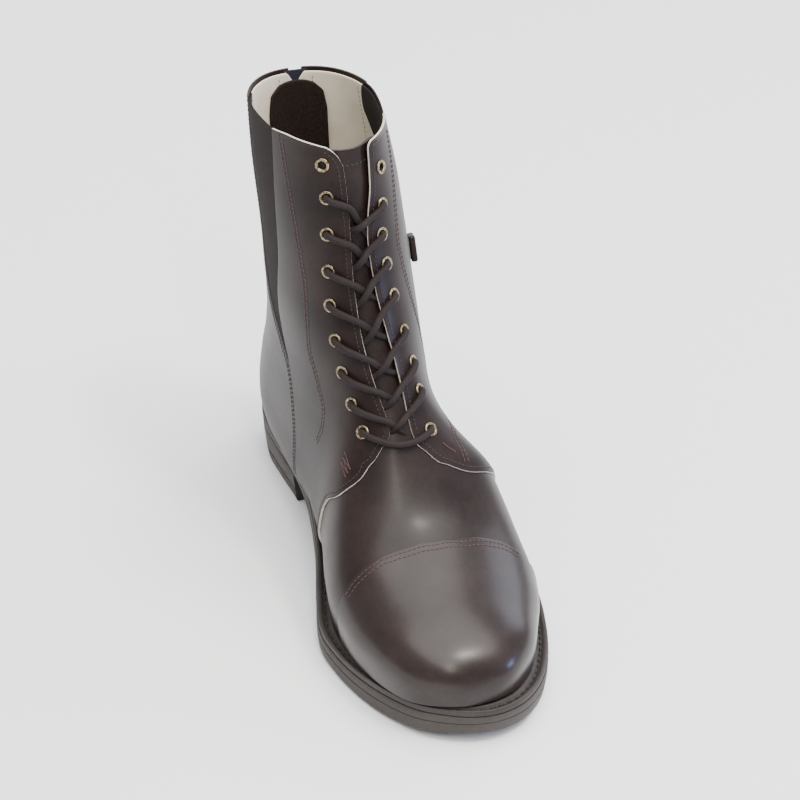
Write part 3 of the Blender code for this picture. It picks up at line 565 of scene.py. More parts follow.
def leather(name, deep, warm, rough, coat, shine):
    made, shader, place = new_finish(name, Coat_Roughness=0.22, Coat_IOR=1.45, Specular_IOR_Level=shine)
    cloud = place.noise(place, 38, 3, 0.55)
    fine = place.noise(place, 420, 3, 0.6)
    cells = place.node("ShaderNodeTexVoronoi", {"Vector": place, "Scale": 1150.0}, out="Distance")
    hairs = place.noise(place, 2300, 2, 0.6)
    tint = (cloud * 0.75 + fine * 0.25).between(0.32, 0.68)
    grain = cells * 0.7 + hairs * 0.5
    feed(shader, {
        "Base Color": tint.mix(deep, warm),
        "Roughness": rough + (fine - 0.5) * 0.10 + (cloud - 0.5) * 0.08,
        "Coat Weight": coat + (cloud - 0.5) * 0.12,
        "Normal": bump(grain, 0.22, 0.00012),
    })
    return made


upper_leather = leather("upper_leather", LEATHER_DEEP, LEATHER_WARM, 0.40, 0.15, 0.18)
leg_leather = leather("leg_leather", LEATHER_DEEP, LEATHER_WARM, 0.43, 0.07, 0.14)
raw_edge, shader, place = new_finish("raw_edge", Roughness=0.8)
fibres = place.noise(place, 900, 3)
feed(shader, {"Base Color": fibres.between(0.35, 0.65).mix((0.50, 0.44, 0.37, 1.0), EDGE_RAW),
              "Normal": bump(fibres, 0.4, 0.0002)})
dark_edge, shader, place = new_finish("dark_edge", Roughness=0.6)
fibres = place.noise(place, 900, 3)
feed(shader, {
    "Base Color": fibres.mix(EDGE_DARK, (0.035, 0.024, 0.022, 1.0)),
    "Normal": bump(fibres, 0.3, 0.0002),
})

VAMP_FACE, VAMP_WALL = -0.25, 1.1
VAMP_ROWS = np.concatenate([np.linspace(0.004, 0.5, 96), np.linspace(0.506, 0.60, 20)])
u = np.linspace(-0.31, 0.31, 190)[None, :] * np.ones((len(VAMP_ROWS), 1))
v = VAMP_ROWS[:, None] - (
    0.03 * np.clip((VAMP_ROWS[:, None] - 0.5) / 0.1, 0, 1) * np.clip(np.abs(u) / 0.12, 0, 1) ** 2
)
vamp = skin("vamp", u, v, VAMP_FACE, VAMP_WALL, [upper_leather])
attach(vamp, "boot")
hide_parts("upper")


# Thread: waxed bonded thread in a lockstitch, a little darker red than the leather and sunk into it.

THREAD_COLOR = (0.060, 0.022, 0.022, 1.0)
thread_mat, shader, place = new_finish("seam_thread", Roughness=0.55)
twist = place.noise(place, 3200, 1)
feed(shader, {"Base Color": twist.mix((0.040, 0.016, 0.016, 1.0), THREAD_COLOR)})

deselect()
bpy.ops.mesh.primitive_uv_sphere_add(segments=6, ring_count=4, radius=1.0)
one_stitch = bpy.context.object
STITCH_SHAPE = np.array([v.co[:] for v in one_stitch.data.vertices])[:, [2, 0, 1]]
STITCH_FACES = [tuple(p.vertices) for p in one_stitch.data.polygons]
bpy.data.objects.remove(one_stitch)


def sew(name, rows, mat, pitch=2.3, long=0.96, wide=0.34, high=0.26):
    """Rows of stitches, each along a line of points with the way out of the leather at each point."""
    places, faces = [], []
    for line, out in rows:
        step = np.linalg.norm(np.diff(line, axis=0), axis=1)
        run = np.concatenate([[0], np.cumsum(step)])
        count = max(int(run[-1] / pitch), 1)
        for s in (np.arange(count) + 0.5) * run[-1] / count:
            here = np.array([np.interp(s, run, line[:, k]) for k in range(3)])
            after = np.array([np.interp(s + 0.4, run, line[:, k]) for k in range(3)])
            before = np.array([np.interp(s - 0.4, run, line[:, k]) for k in range(3)])
            up = np.array([np.interp(s, run, out[:, k]) for k in range(3)])
            up /= np.linalg.norm(up)
            along = after - before
            along /= np.linalg.norm(along)
            aside = np.cross(up, along)
            base = len(places) * len(STITCH_SHAPE)
            shape = STITCH_SHAPE * (long, wide, high)
            places.append(here + shape[:, :1] * along + shape[:, 1:2] * aside + shape[:, 2:] * up)
            faces += [tuple(k + base for k in face) for face in STITCH_FACES]
    mesh = bpy.data.meshes.new(name)
    mesh.from_pydata((np.concatenate(places) * MM).tolist(), [], faces)
    mesh.materials.append(mat)
    mesh.shade_smooth()
    made = bpy.data.objects.new(name, mesh)
    bpy.context.scene.collection.objects.link(made)
    bpy.context.view_layer.update()
    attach(made, "boot")
    return made


def seam_line(u, v, face, dense=400):
    """A seam on the upper, from its corner points, as places and ways out."""
    k = np.linspace(0, len(u) - 1, dense)
    u, v = np.interp(k, np.arange(len(u)), u), np.interp(k, np.arange(len(v)), v)
    point, out = last_at(u, v)
    out = out / np.linalg.norm(out, axis=1, keepdims=True)
    return point + out * face, out


lining_thread, shader, place = new_finish("lining_thread", Roughness=0.6)
twist = place.noise(place, 3200, 1)
feed(shader, {"Base Color": twist.mix((0.30, 0.24, 0.17, 1.0), (0.42, 0.35, 0.26, 1.0))})
rows = []
for turn in (0.345, 0.655, 0.455, 0.545):
    heights = np.linspace(0.60, 0.975, 60)
    line, out = seam_line(np.full(60, turn), heights, LINING_FACE - LINING_WALL - 0.05)
    rows.append((line, -out))
sew("lining_seams", rows, lining_thread)


# Toe cap: a second layer of slightly smoother leather over the vamp, its edge sewn down with two rows.

CAP_SEAM = (
    # u, v
    (-0.174, 0.100), (-0.170, 0.160), (-0.163, 0.210), (-0.147, 0.260), (-0.1285, 0.290),
    (-0.08, 0.314), (0.0, 0.327), (0.08, 0.320), (0.1337, 0.296), (0.160, 0.252),
    (0.172, 0.200), (0.177, 0.140),
)
CAP_FACE, CAP_WALL = 0.75, 1.0
CAP_DEEP = (0.0135, 0.0080, 0.0072, 1.0)
CAP_WARM = (0.0235, 0.0142, 0.0124, 1.0)
cap_leather = leather("cap_leather", CAP_DEEP, CAP_WARM, 0.33, 0.26, 0.20)
cap_u = np.linspace(-0.1725, 0.1755, 170)
seam_v = column(CAP_SEAM, cap_u, 1)
t = np.linspace(0, 1, 80)
cap_v = 0.010 + (seam_v - 0.010)[None, :] * t[:, None]
toe_cap = skin(
    "toe_cap", cap_u[None, :] * np.ones((80, 1)), cap_v, CAP_FACE, CAP_WALL, [cap_leather, dark_edge], rim=1,
)
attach(toe_cap, "boot")
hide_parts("toe_cap")
u0, v0 = cap_u[2:-2], seam_v[2:-2]
rows = []
for inset in (1.6, 4.0):
    u, v = beside(u0, v0, inset)
    rows.append(seam_line(u, v, CAP_FACE + 0.06))
sew("toe_cap_seam", rows, thread_mat)


# Quarters: the derby facings, each one sheet from the flap on the vamp up to the collar, pale at its cut
# front edge and holed for nine eyelets. Their back edges are sewn over the elastic and the counter.

QUARTER_BACK = (
    # v, u
    (0.0, 0.302), (0.106, 0.294), (0.25, 0.290), (0.40, 0.292), (0.45, 0.296), (0.50, 0.2955),
    (0.56, 0.290), (0.617, 0.2815), (0.70, 0.265), (0.80, 0.243), (0.90, 0.2175), (1.0, 0.190),
)
EYELETS = (
    # medial u, medial v, lateral u, lateral v
    (0.0708, 0.962, 0.0977, 0.938), (0.0765, 0.9043, 0.0992, 0.8765), (0.0960, 0.8412, 0.0900, 0.8318),
    (0.1164, 0.7786, 0.0974, 0.7840), (0.1340, 0.7225, 0.1113, 0.7324), (0.1400, 0.6678, 0.1298, 0.6722),
    (0.1412, 0.6169, 0.1440, 0.6158), (0.1358, 0.5672, 0.1430, 0.5690), (0.1192, 0.5266, 0.1359, 0.5082),
)
PANEL_LOW, PANEL_HIGH = 0.010, 0.997
PANEL_FACE, PANEL_WALL = 0.8, 1.1
SIDE_NAMES = ((-1, "medial"), (1, "lateral"))
BURGUNDY_LINES = {
    -1: ((0.170, 0.995), (0.195, 0.726), (0.227, 0.571), (0.222, 0.462), (0.235, 0.383), (0.2505, 0.304)),
    1: ((0.165, 0.977), (0.163, 0.905), (0.1595, 0.788), (0.194, 0.6665), (0.239, 0.5065), (0.223, 0.494),
        (0.206, 0.450), (0.177, 0.445), (0.173, 0.399)),
}
thread_dark, shader, place = new_finish("edge_thread", Roughness=0.55)
twist = place.noise(place, 3200, 1)
feed(shader, {"Base Color": twist.mix((0.005, 0.0035, 0.0035, 1.0), (0.014, 0.010, 0.010, 1.0))})

for side, label in SIDE_NAMES:
    rows_v = even_rows(PANEL_LOW, PANEL_HIGH, 250, lambda h: facing(h, side))
    front_edge = np.abs(facing(rows_v, side))
    back_edge = shift_u(column(QUARTER_BACK, rows_v, 1), rows_v, 1.2)
    t = np.linspace(0, 1, 100)
    u = side * (front_edge[:, None] + (back_edge - front_edge)[:, None] * t[None, :])
    if side < 0:
        u = u[:, ::-1]
    v = rows_v[:, None] * np.ones(u.shape)
    k = 0 if side < 0 else 2
    holes = [upper(side * row[k], row[k + 1], PANEL_FACE) for row in EYELETS]
    quarter = skin("quarter_" + label, u, v, PANEL_FACE, PANEL_WALL, [leg_leather, raw_edge], rim=1, holes=holes)
    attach(quarter, "boot")
    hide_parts("quarter_" + label)
    u0, v0 = np.abs(facing(rows_v, side)), rows_v
    u, v = beside(side * u0, v0, 2.4 * side)
    keep = (v > 0.03) & (v < 0.992)
    sew(f"quarter_{label}_edge_seam", [seam_line(u[keep], v[keep], PANEL_FACE + 0.05)], thread_dark, pitch=2.2)
    line = np.array(BURGUNDY_LINES[side])
    k = np.linspace(0, len(line) - 1, 200)
    u0, v0 = np.interp(k, np.arange(len(line)), line[:, 0]), np.interp(k, np.arange(len(line)), line[:, 1])
    rows = []
    for inset in (-1.1, 1.1):
        u, v = beside(side * u0, v0, inset)
        rows.append(seam_line(u, v, PANEL_FACE + 0.05))
    sew(f"quarter_{label}_seam", rows, thread_mat)


TACK_PLACES = (
    # side, places along a zigzag as u, v
    (-1, ((-0.172, 0.452), (-0.163, 0.428), (-0.176, 0.436), (-0.168, 0.414), (-0.180, 0.420), (-0.173, 0.400))),
    (1, ((0.066, 0.985), (0.078, 0.985), (0.090, 0.985))),
    (1, ((0.150, 0.470), (0.157, 0.452), (0.164, 0.434))),
)
rows = [seam_line(np.array(places)[:, 0], np.array(places)[:, 1], PANEL_FACE + 0.08, 60) for _, places in TACK_PLACES]
sew("bar_tacks", rows, thread_mat, pitch=1.1, long=0.6, wide=0.4, high=0.34)


# Gores: dark elastic webbing with fine upright ribs, sewn between quarter and back panel.

GORE_BACK = (
    # v, u
    (0.40, 0.294), (0.43, 0.304), (0.50, 0.321), (0.62, 0.333), (0.80, 0.331), (1.0, 0.3225),
)
GORE_FACE, GORE_WALL = 0.3, 0.8
elastic_mat, shader, place = new_finish("elastic", Roughness=0.85, Specular_IOR_Level=0.15)
flat_uv = place.node("ShaderNodeUVMap")
split = place.node("ShaderNodeSeparateXYZ", {"Vector": flat_uv}, out="X")
ribs = (split * (2 * np.pi * 240)).maths("SINE", split * (2 * np.pi * 240))
fuzz = place.noise(place, 1800, 3)
feed(shader, {
    "Base Color": (ribs * 0.35 + fuzz * 0.8).between(-0.1, 1.0).mix((0.010, 0.007, 0.007, 1.0), (0.030, 0.021, 0.019, 1.0)),
    "Normal": bump(ribs * 0.6 + fuzz * 0.5, 0.6, 0.0004),
})
for side, label in SIDE_NAMES:
    rows_v = np.linspace(0.402, PANEL_HIGH - 0.002, 130)
    front_edge = shift_u(column(QUARTER_BACK, rows_v, 1), rows_v, -1.0)
    back_edge = np.maximum(shift_u(column(GORE_BACK, rows_v, 1), rows_v, 1.0), front_edge + 0.004)
    t = np.linspace(0, 1, 40)
    u = side * (front_edge[:, None] + (back_edge - front_edge)[:, None] * t[None, :])
    if side < 0:
        u = u[:, ::-1]
    gore = skin("gore_" + label, u, rows_v[:, None] * np.ones(u.shape), GORE_FACE, GORE_WALL, [elastic_mat])
    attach(gore, "boot")
    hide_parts("gore_" + label)


# Back panels: counter and back strap in one sheet a side, slit down the middle for the zip.

ZIP_HALF, ZIP_BOTTOM, ZIP_TOP = 0.0155, 0.24, 0.952
for side, label in SIDE_NAMES:
    rows_v = np.linspace(PANEL_LOW, PANEL_HIGH, 190)
    seam = np.where(rows_v < 0.40, column(QUARTER_BACK, rows_v, 1), column(GORE_BACK, rows_v, 1))
    front_edge = shift_u(seam, rows_v, 0.2)
    slit = ZIP_HALF * np.clip((rows_v - ZIP_BOTTOM + 0.02) / 0.03, 0, 1)
    back_edge = shift_u(0.5 - slit, rows_v, -0.2)
    t = np.linspace(0, 1, 90)
    u = side * (front_edge[:, None] + (back_edge - front_edge)[:, None] * t[None, :])
    if side < 0:
        u = u[:, ::-1]
    back = skin(
        "back_" + label, u, rows_v[:, None] * np.ones(u.shape),
        PANEL_FACE, PANEL_WALL, [leg_leather, dark_edge], rim=1,
    )
    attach(back, "boot")
    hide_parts("back_" + label)
    rows = []
    for inset in (2.0, 4.2):
        u, v = beside(side * front_edge, rows_v, inset * side)
        rows.append(seam_line(u[4:-2], v[4:-2], PANEL_FACE + 0.05))
    for inset in (-2.2,):
        u, v = beside(side * back_edge, rows_v, inset * side)
        keep = rows_v > ZIP_BOTTOM
        rows.append(seam_line(u[keep][:-2], v[keep][:-2], PANEL_FACE + 0.05))
    sew(f"back_{label}_seam", rows, thread_dark)


# Tongue: one soft leather sheet from beneath the vamp to above the facings, rounded at its top.

TONGUE_FACE, TONGUE_WALL = -2.6, 1.5
rows_v = np.linspace(0.505, 0.99, 120)
half = np.interp(rows_v, [0.50, 0.56, 0.70, 1.0], [0.050, 0.085, 0.125, 0.140])
t = np.linspace(-1, 1, 60)
u = 0.02 + half[:, None] * t[None, :]
v = rows_v[:, None] - 0.03 * np.clip((rows_v[:, None] - 0.9) / 0.09, 0, 1) * t**4
tongue = skin("tongue", u, v, TONGUE_FACE, TONGUE_WALL, [upper_leather, dark_edge], rim=1, round_edges=0.4)
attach(tongue, "boot")
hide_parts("tongue")
t = np.linspace(-0.86, 0.86, 80)
u = 0.02 + 0.136 * t
v = 0.962 - 0.03 * t**4 * 0.9
sew("tongue_seam", [seam_line(u, v, TONGUE_FACE + 0.05)], thread_dark)


# Zip: woven tape behind the slit, a moulded coil down its middle, a felt guard inside against the leg.

GUARD_FACE, GUARD_WALL = -3.0, 1.4
tape_mat, shader, place = new_finish("zip_tape", Roughness=0.85)
weave = place.noise(place, 2200, 2)
feed(shader, {
    "Base Color": weave.mix((0.006, 0.006, 0.012, 1.0), (0.018, 0.018, 0.030, 1.0)),
    "Normal": bump(weave, 0.5, 0.0003),
})
rows_v = np.linspace(ZIP_BOTTOM - 0.02, 0.992, 140)
u = 0.5 + 0.03 * np.linspace(-1, 1, 13)[None, :] * np.ones((140, 1))
tape = skin("zip_tape", u, rows_v[:, None] * np.ones(u.shape), -0.1, 0.4, [tape_mat])
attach(tape, "boot")

coil_mat, shader, place = new_finish("zip_coil", Roughness=0.42)
scuff = place.noise(place, 700, 2)
feed(shader, {"Base Color": scuff.mix((0.012, 0.011, 0.015, 1.0), (0.040, 0.037, 0.045, 1.0))})
COIL_PITCH = 1.5
line, out = seam_line(np.array([0.5, 0.5]), np.array([ZIP_BOTTOM + 0.01, ZIP_TOP - 0.012]), 0.35, 900)
run = np.concatenate([[0], np.cumsum(np.linalg.norm(np.diff(line, axis=0), axis=1))])
deselect()
bpy.ops.mesh.primitive_cube_add(size=1.0)
tooth = bpy.context.object
soft = tooth.modifiers.new("soft", "BEVEL")
soft.width = 0.22
soft.segments = 1
bpy.ops.object.modifier_apply(modifier="soft")
TOOTH_SHAPE = np.array([v.co[:] for v in tooth.data.vertices])
TOOTH_FACES = [tuple(p.vertices) for p in tooth.data.polygons]
bpy.data.objects.remove(tooth)
places, faces = [], []
for n, s in enumerate(np.arange(0.5, run[-1], COIL_PITCH / 2)):
    here, up = (np.array([np.interp(s, run, data[:, k]) for k in range(3)]) for data in (line, out))
    ahead_point = np.array([np.interp(s + 0.5, run, line[:, k]) for k in range(3)])
    along = ahead_point - here
    along = along / np.linalg.norm(along) if np.linalg.norm(along) > 0 else np.array([0, 0, 1.0])
    aside = np.cross(up, along)
    shape = TOOTH_SHAPE * (0.62, 2.6, 1.1) + (0, 0.75 if n % 2 else -0.75, 0)
    base = len(places) * len(TOOTH_SHAPE)
    places.append(here + shape[:, :1] * along + shape[:, 1:2] * aside + shape[:, 2:] * up)
    faces += [tuple(k + base for k in face) for face in TOOTH_FACES]
mesh = bpy.data.meshes.new("zip_coil")
mesh.from_pydata((np.concatenate(places) * MM).tolist(), [], faces)
mesh.materials.append(coil_mat)
coil = bpy.data.objects.new("zip_coil", mesh)
bpy.context.scene.collection.objects.link(coil)
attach(coil, "boot")
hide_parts("zip_teeth")

felt_mat, shader, place = new_finish("guard_felt", Roughness=0.95, Specular_IOR_Level=0.1)
nap = place.noise(place, 1500, 4, 0.7)
feed(shader, {
    "Base Color": nap.between(0.3, 0.7).mix((0.012, 0.008, 0.007, 1.0), (0.034, 0.023, 0.020, 1.0)),
    "Normal": bump(nap, 0.9, 0.0006),
})
rows_v = np.linspace(0.20, 0.965, 110)
half = np.interp(rows_v, [0.20, 0.36, 0.88, 0.94, 0.965], [0.055, 0.080, 0.080, 0.072, 0.050])
t = np.linspace(-1, 1, 36)
u = 0.5 + half[:, None] * t[None, :]
v = rows_v[:, None] - 0.012 * np.clip((rows_v[:, None] - 0.88) / 0.08, 0, 1) * t**2
guard = skin("zip_guard", u, v, GUARD_FACE + 1.6, GUARD_WALL, [felt_mat], round_edges=0.4)
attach(guard, "boot")
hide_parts("zip_guard")


# Eyelets: stamped brass rings with an antique finish, rolled over at the face and set through the facing.

EYELET_RING, EYELET_WIRE = 2.72, 0.72
brass_mat, shader, place = new_finish("antique_brass", Metallic=1.0)
wear = place.noise(place, 900, 3)
feed(shader, {
    "Base Color": wear.between(0.35, 0.65).mix((0.13, 0.095, 0.055, 1.0), (0.40, 0.32, 0.20, 1.0)),
    "Roughness": 0.30 + wear * 0.22,
})
for row, (u_m, v_m, u_l, v_l) in enumerate(EYELETS, 1):
    for label, u, v in (("m", -u_m, v_m), ("l", u_l, v_l)):
        deselect()
        bpy.ops.mesh.primitive_torus_add(
            major_segments=40, minor_segments=12, major_radius=EYELET_RING * MM, minor_radius=EYELET_WIRE * MM
        )
        ring = bpy.context.object
        ring.name = ring.data.name = f"ring_{label}{row}"
        frame_here = upper_frame(u, v, PANEL_FACE + 0.25)
        for vertex in ring.data.vertices:
            x, y, z = vertex.co
            radius = np.hypot(x, y)
            if z < 0 and radius < EYELET_RING * MM:
                z = z * 4.0
            vertex.co = frame_here @ Vector((x, y, z * 0.8))
        ring.data.materials.append(brass_mat)
        ring.data.shade_smooth()
        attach(ring, "boot")
        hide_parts(f"eyelet_{label}{row}")


# Laces: one round waxed cord. It starts behind the second pair of eyelets, comes out of each hole, runs
# over the facing into the gap, crosses the other end there and goes in under the far facing.

LACE_RADIUS = 1.6
lace_mat, shader, place = new_finish("lace_cord", Roughness=0.75, Specular_IOR_Level=0.2)
strand = place.noise(place, 1500, 2)
feed(shader, {
    "Base Color": strand.mix((0.008, 0.0055, 0.0055, 1.0), (0.026, 0.018, 0.018, 1.0)),
    "Normal": bump(strand, 0.6, 0.0004),
})


def lace_leg(row, side, over):
    """Points from an eyelet out over its facing, across the gap and under the far facing to the next hole."""
    k = 0 if side < 0 else 2
    a = np.array([side * EYELETS[row][k], EYELETS[row][k + 1]])
    b = np.array([-side * EYELETS[row + 1][2 - k], EYELETS[row + 1][3 - k]])
    own = np.array([float(facing(np.array(a[1] - 0.008), side)), a[1] - 0.008])
    far = np.array([float(facing(np.array(b[1] + 0.012), -side)), b[1] + 0.012])
    middle = (own + far) / 2
    high = 2.6 if over else -0.6
    return [
        (*a, -1.6), (*a, 1.6), (*(a + (own - a) * 0.22), 3.0), (*(a + (own - a) * 0.65), 2.75),
        (*(own + (middle - own) * 0.15), 2.3 if over else 1.6), (*middle, high),
        (*(middle + (far - middle) * 0.7), -0.9 if over else -2.0), (*(far + (b - far) * 0.2), -2.4),
        (*(far + (b - far) * 0.7), -2.6), (*b, -1.6),
    ]


points = {}
for side in (-1, 1):
    chain, now = [], side
    for row in range(1, 8):
        leg = lace_leg(row, now, over=(now > 0))
        chain += leg if not chain else leg[1:]
        now = -now
    points[side] = chain
    chain.append((now * EYELETS[8][0 if now < 0 else 2], EYELETS[8][1 if now < 0 else 3], 1.6))
first, second = points[-1], points[1]
bar = []
ends = np.array([[c[-1][0], c[-1][1]] for c in (first, second)])
for f in (0.08, 0.3, 0.5, 0.7, 0.92):
    spot = ends[0] + (ends[1] - ends[0]) * f
    bar.append((*spot, 2.9 - 0.5 * (2 * f - 1) ** 4))
whole = [(first[0][0], first[0][1], -2.6)] + first + bar + second[::-1] + [(second[0][0], second[0][1], -2.6)]
whole = np.array(whole)
route = upper(whole[:, 0], whole[:, 1], whole[:, 2])
curve = bpy.data.curves.new("lace", "CURVE")
curve.dimensions = "3D"
curve.bevel_depth = LACE_RADIUS * MM
curve.bevel_resolution = 5
curve.resolution_u = 6
curve.use_fill_caps = True
spline = curve.splines.new("BEZIER")
spline.bezier_points.add(len(route) - 1)
for point, spot in zip(spline.bezier_points, route):
    point.co = spot * MM
    point.handle_left_type = point.handle_right_type = "AUTO"
curve.materials.append(lace_mat)
lace = bpy.data.objects.new("lace", curve)
bpy.context.scene.collection.objects.link(lace)
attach(lace, "boot")
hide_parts(*[f"lace_{n}" for n in range(1, 9)])


# Outsole: moulded brown rubber with a shallow step round its side and a low heel block under the back.
# Its underside is plain here; the solids have the cross grooves of the tread.

OUTLINE = (
    # x, y
    (2.0, -140.0), (16.0, -137.0), (26.5, -129.5), (37.0, -115.5), (46.5, -94.0), (53.5, -68.0),
    (55.6, -48.0), (53.2, -22.0), (46.5, 8.0), (37.5, 40.0), (32.0, 66.0), (31.0, 95.0),
    (24.0, 121.0), (10.0, 136.5), (-4.0, 140.0), (-19.0, 137.0), (-31.5, 126.5), (-36.5, 107.0),
    (-36.0, 88.0), (-34.0, 64.0), (-34.0, 38.0), (-39.5, 5.0), (-48.6, -28.0), (-55.0, -54.0),
    (-53.4, -74.0), (-47.5, -95.0), (-39.5, -112.0), (-28.5, -127.0), (-13.5, -136.5),
)
UNDERSIDE = (
    # y, z
    (-140.0, 5.5), (-122.0, 2.2), (-104.0, 0.4), (-92.0, 0.0), (-30.0, 0.0), (-14.0, 0.9),
    (8.0, 4.6), (30.0, 10.0), (50.0, 14.6), (62.0, 16.6), (100.0, 18.6), (140.0, 19.0),
)
SOLE_COUNT = 256
WELT_THICK, SEAT_GAP = 3.0, 0.3
SIDE_STEPS = (
    # inset, part of the height
    (2.6, 0.0), (1.4, 0.05), (0.5, 0.17), (0.0, 0.55), (0.05, 0.61), (0.4, 0.635), (0.4, 0.65),
    (0.05, 0.675), (0.0, 0.76), (0.1, 0.96), (0.45, 1.0),
)


def outline(count, inset=0.0):
    """The outsole's outline as count points, moved inward by inset."""
    points = np.array(OUTLINE)
    total = len(points)
    spot = np.arange(count) * total / count
    i = spot.astype(int)
    t = (spot - i)[:, None]
    a, b, c, d = (points[(i + k) % total] for k in (-1, 0, 1, 2))
    loop = 0.5 * (2 * b + (c - a) * t + (2 * a - 5 * b + 4 * c - d) * t**2)
    loop += 0.5 * (3 * b - a - 3 * c + d) * t**3
    along = np.roll(loop, -1, 0) - np.roll(loop, 1, 0)
    along /= np.linalg.norm(along, axis=1)[:, None]
    return loop + inset * np.stack([-along[:, 1], along[:, 0]], 1)


def sole_top(y):
    return column(FOOT, y, 1) - SEAT_GAP - WELT_THICK - SEAT_GAP


def sole_bottom(y):
    return column(UNDERSIDE, y, 1)


def draw_up(name, loops):
    """A ring of edge drawn up through loops of equal count, by extruding and placing each one."""
    count = len(loops[0])
    deselect()
    bpy.ops.mesh.primitive_circle_add(vertices=count, radius=1.0)
    made = bpy.context.object
    made.name = made.data.name = name
    for n, loop in enumerate(loops):
        if n:
            bpy.ops.object.mode_set(mode="EDIT")
            bpy.ops.mesh.extrude_edges_move()
            bpy.ops.object.mode_set(mode="OBJECT")
        for k in range(count):
            made.data.vertices[n * count + k].co = loop[k] * MM
    return made


def close_end(made, low, height):
    """Closes the open end nearest the floor (low) or furthest from it with a net of faces that follows a height."""
    mesh = made.data
    count = len(mesh.vertices)
    bpy.ops.object.mode_set(mode="EDIT")
    bpy.ops.mesh.select_all(action="DESELECT")
    bpy.ops.object.mode_set(mode="OBJECT")
    wanted = range(0, low) if low else range(count + low if low else 0, count)
    for k in wanted:
        mesh.vertices[k].select = True
    bpy.ops.object.mode_set(mode="EDIT")
    bpy.ops.mesh.select_mode(type="EDGE")
    bpy.ops.object.mode_set(mode="OBJECT")
    chosen = set(wanted)
    for edge in mesh.edges:
        edge.select = edge.vertices[0] in chosen and edge.vertices[1] in chosen
    bpy.ops.object.mode_set(mode="EDIT")
    bpy.ops.mesh.fill_grid(span=len(chosen) // 4)
    bpy.ops.object.mode_set(mode="OBJECT")
    for vertex in mesh.vertices[count:]:
        vertex.co.z = float(height(np.array(vertex.co.y / MM))) * MM


rubber_mat, shader, place = new_finish("sole_rubber", Specular_IOR_Level=0.25)
cloud = place.noise(place, 30, 3)
dust = place.noise(place, 700, 3, 0.6)
feed(shader, {
    "Base Color": (cloud * 0.6 + dust * 0.4).between(0.3, 0.7).mix(
        (0.034, 0.028, 0.025, 1.0), (0.056, 0.047, 0.042, 1.0)
    ),
    "Roughness": 0.50 + dust * 0.20,
    "Normal": bump(dust, 0.25, 0.0002),
})


def side_loop(inset, part):
    loop = outline(SOLE_COUNT, inset)
    z = sole_bottom(loop[:, 1]) * (1 - part) + sole_top(loop[:, 1]) * part
    return np.column_stack([loop, z])


def smooth_all(made, angle=40):
    mesh = made.data
    mesh.shade_smooth()
    mesh.set_sharp_from_angle(angle=np.radians(angle))


outsole = draw_up("outsole_dressed", [side_loop(*step) for step in SIDE_STEPS])
close_end(outsole, SOLE_COUNT, sole_bottom)
bpy.ops.object.mode_set(mode="EDIT")
bpy.ops.mesh.select_all(action="SELECT")
bpy.ops.mesh.normals_make_consistent(inside=False)
bpy.ops.object.mode_set(mode="OBJECT")
outsole.data.materials.append(rubber_mat)
smooth_all(outsole)
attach(outsole, "boot")
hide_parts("outsole")

HEEL_BREAST, HEEL_TAPER = 62.0, 2.6


def heel_loop(inset, height):
    loop = outline(SOLE_COUNT * 2, inset)
    curve = loop[loop[:, 1] > HEEL_BREAST]
    length = np.concatenate([[0], np.cumsum(np.linalg.norm(np.diff(curve, axis=0), axis=1))])
    length /= length[-1]
    curve = np.column_stack([np.interp(np.linspace(0, 1, 160), length, curve[:, k]) for k in (0, 1)])
    t = np.linspace(0, 1, 34)[1:-1]
    breast = curve[-1] * (1 - t)[:, None] + curve[0] * t[:, None]
    breast[:, 1] += 3.0 * np.sin(np.pi * t)
    flat = np.concatenate([curve, breast])
    z = height(flat[:, 1]) if callable(height) else np.full(len(flat), height)
    return np.column_stack([flat, z])


heel_steps = (
    (HEEL_TAPER + 1.4, 0.0), (HEEL_TAPER + 0.4, 0.35), (HEEL_TAPER, 1.2), (HEEL_TAPER * 0.72, 6.1),
    (HEEL_TAPER * 0.75 + 0.5, 6.5),
    (HEEL_TAPER * 0.75 + 0.5, 6.9), (HEEL_TAPER * 0.68, 7.3), (HEEL_TAPER * 0.4, 12.0), (0.5, lambda y: sole_bottom(y) - 0.8),
    (0.9, lambda y: sole_bottom(y) - 0.1),
)
heel = draw_up("heel_dressed", [heel_loop(*step) for step in heel_steps])
close_end(heel, len(heel_loop(0, 0.0)), lambda y: 0.0)
bpy.ops.object.mode_set(mode="EDIT")
bpy.ops.mesh.select_all(action="SELECT")
bpy.ops.mesh.normals_make_consistent(inside=False)
bpy.ops.object.mode_set(mode="OBJECT")
heel.data.materials.append(rubber_mat)
smooth_all(heel)
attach(heel, "boot")
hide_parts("heel")


# Welt: a rubber-faced leather strip sewn round the boot on the outsole, with a bead at its rim and a
# groove that holds the outseam's dark stitches.

WELT_PROFILE = (
    # part of the way in, height over the welt's top
    (0.0, -3.0), (-0.01, -2.2), (-0.02, -0.9), (0.02, -0.25), (0.09, 0.0), (0.20, 0.0), (0.27, -0.35),
    (0.33, -0.95), (0.44, -1.05), (0.52, -0.85), (0.58, -0.15), (0.66, 0.30), (0.76, 0.35), (0.88, 0.05), (1.0, -0.4), (1.0, -3.0),
)


def welt_high(y):
    return sole_top(y) + SEAT_GAP + WELT_THICK


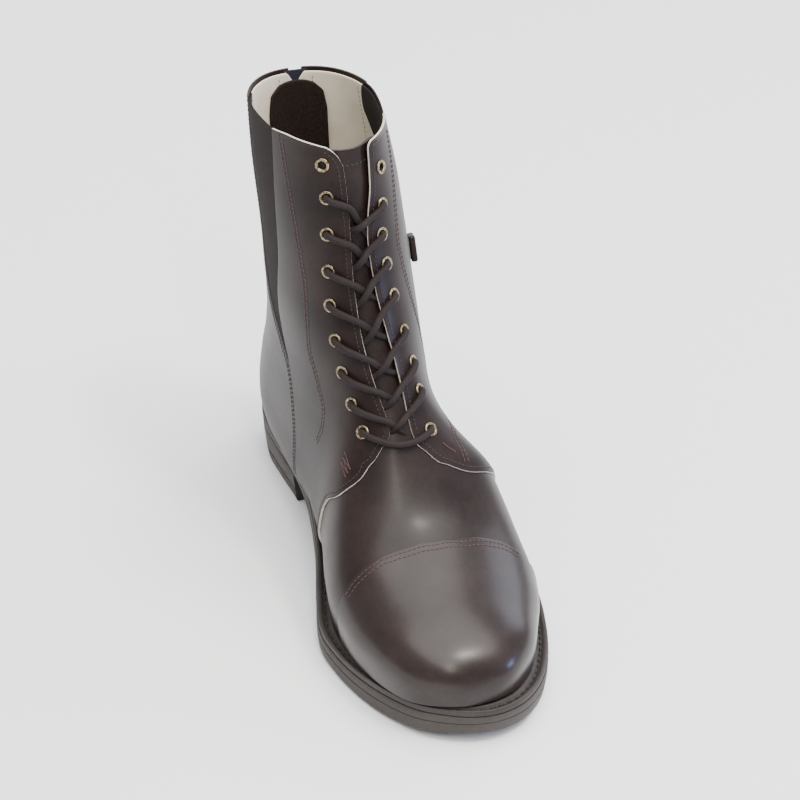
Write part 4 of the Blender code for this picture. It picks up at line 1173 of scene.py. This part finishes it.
fine = feather(np.arange(1440) / 1440)[:, :2]
run = np.roll(fine, -1, 0) - np.roll(fine, 1, 0)
run /= np.linalg.norm(run, axis=1)[:, None]
fine = fine + 1.2 * np.stack([-run[:, 1], run[:, 0]], 1)
welt_outer = outline(SOLE_COUNT, 0.6)
welt_inner = np.array([fine[np.argmin(np.linalg.norm(fine - p, axis=1))] for p in welt_outer])
for _ in range(6):
    welt_inner = (np.roll(welt_inner, 1, 0) + 2 * welt_inner + np.roll(welt_inner, -1, 0)) / 4
front_part = np.clip((60 - welt_outer[:, 1]) / 50, 0, 1)
welt_loops = []
for part, height in WELT_PROFILE:
    flat = welt_outer + (welt_inner - welt_outer) * part
    drop = height if height in (-3.0,) else height * (0.35 + 0.65 * front_part)
    welt_loops.append(np.column_stack([flat, welt_high(welt_outer[:, 1] * (1 - part) + welt_inner[:, 1] * part) + drop]))
welt = draw_up("welt_dressed", welt_loops)
welt_mat, shader, place = new_finish("welt_strip", Specular_IOR_Level=0.25)
cloud = place.noise(place, 60, 3)
dust = place.noise(place, 900, 3, 0.6)
feed(shader, {
    "Base Color": (cloud * 0.6 + dust * 0.4).between(0.3, 0.7).mix(
        (0.026, 0.021, 0.019, 1.0), (0.046, 0.038, 0.034, 1.0)
    ),
    "Roughness": 0.46 + dust * 0.18,
    "Normal": bump(dust, 0.25, 0.0002),
})
bpy.ops.object.mode_set(mode="EDIT")
bpy.ops.mesh.select_all(action="SELECT")
bpy.ops.mesh.normals_make_consistent(inside=False)
bpy.ops.object.mode_set(mode="OBJECT")
welt.data.materials.append(welt_mat)
smooth_all(welt, 50)
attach(welt, "boot")
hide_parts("welt")
keep = np.flatnonzero(welt_outer[:, 1] < 52)
order = np.concatenate([keep[keep > SOLE_COUNT // 2], keep[keep <= SOLE_COUNT // 2]])
flat = (welt_outer + (welt_inner - welt_outer) * 0.42)[order]
line = np.column_stack([flat, welt_high(flat[:, 1]) - 0.70])
sew(
    "welt_seam", [(line, np.tile([0.0, 0.0, 1.0], (len(line), 1)))], thread_dark,
    pitch=4.6, long=1.7, wide=0.55, high=0.5,
)


# Insole: the cream footbed seen down the leg.

for node in ("insole",):
    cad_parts[node].data.materials.clear()
    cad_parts[node].data.materials.append(lining_mat)


# Slider and pull: plated metal, at the top of the closed zip; the pull hangs on its own pin.

metal_mat, shader, place = new_finish("zip_metal", Metallic=1.0)
wear = place.noise(place, 900, 3)
feed(shader, {
    "Base Color": wear.mix((0.24, 0.23, 0.22, 1.0), (0.46, 0.44, 0.41, 1.0)),
    "Roughness": 0.28 + wear * 0.2,
})
for node in ("zip_slider", "zip_pull"):
    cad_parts[node].data.materials.clear()
    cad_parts[node].data.materials.append(metal_mat)
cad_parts["side_tab"].data.materials.clear()
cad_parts["side_tab"].data.materials.append(upper_leather)
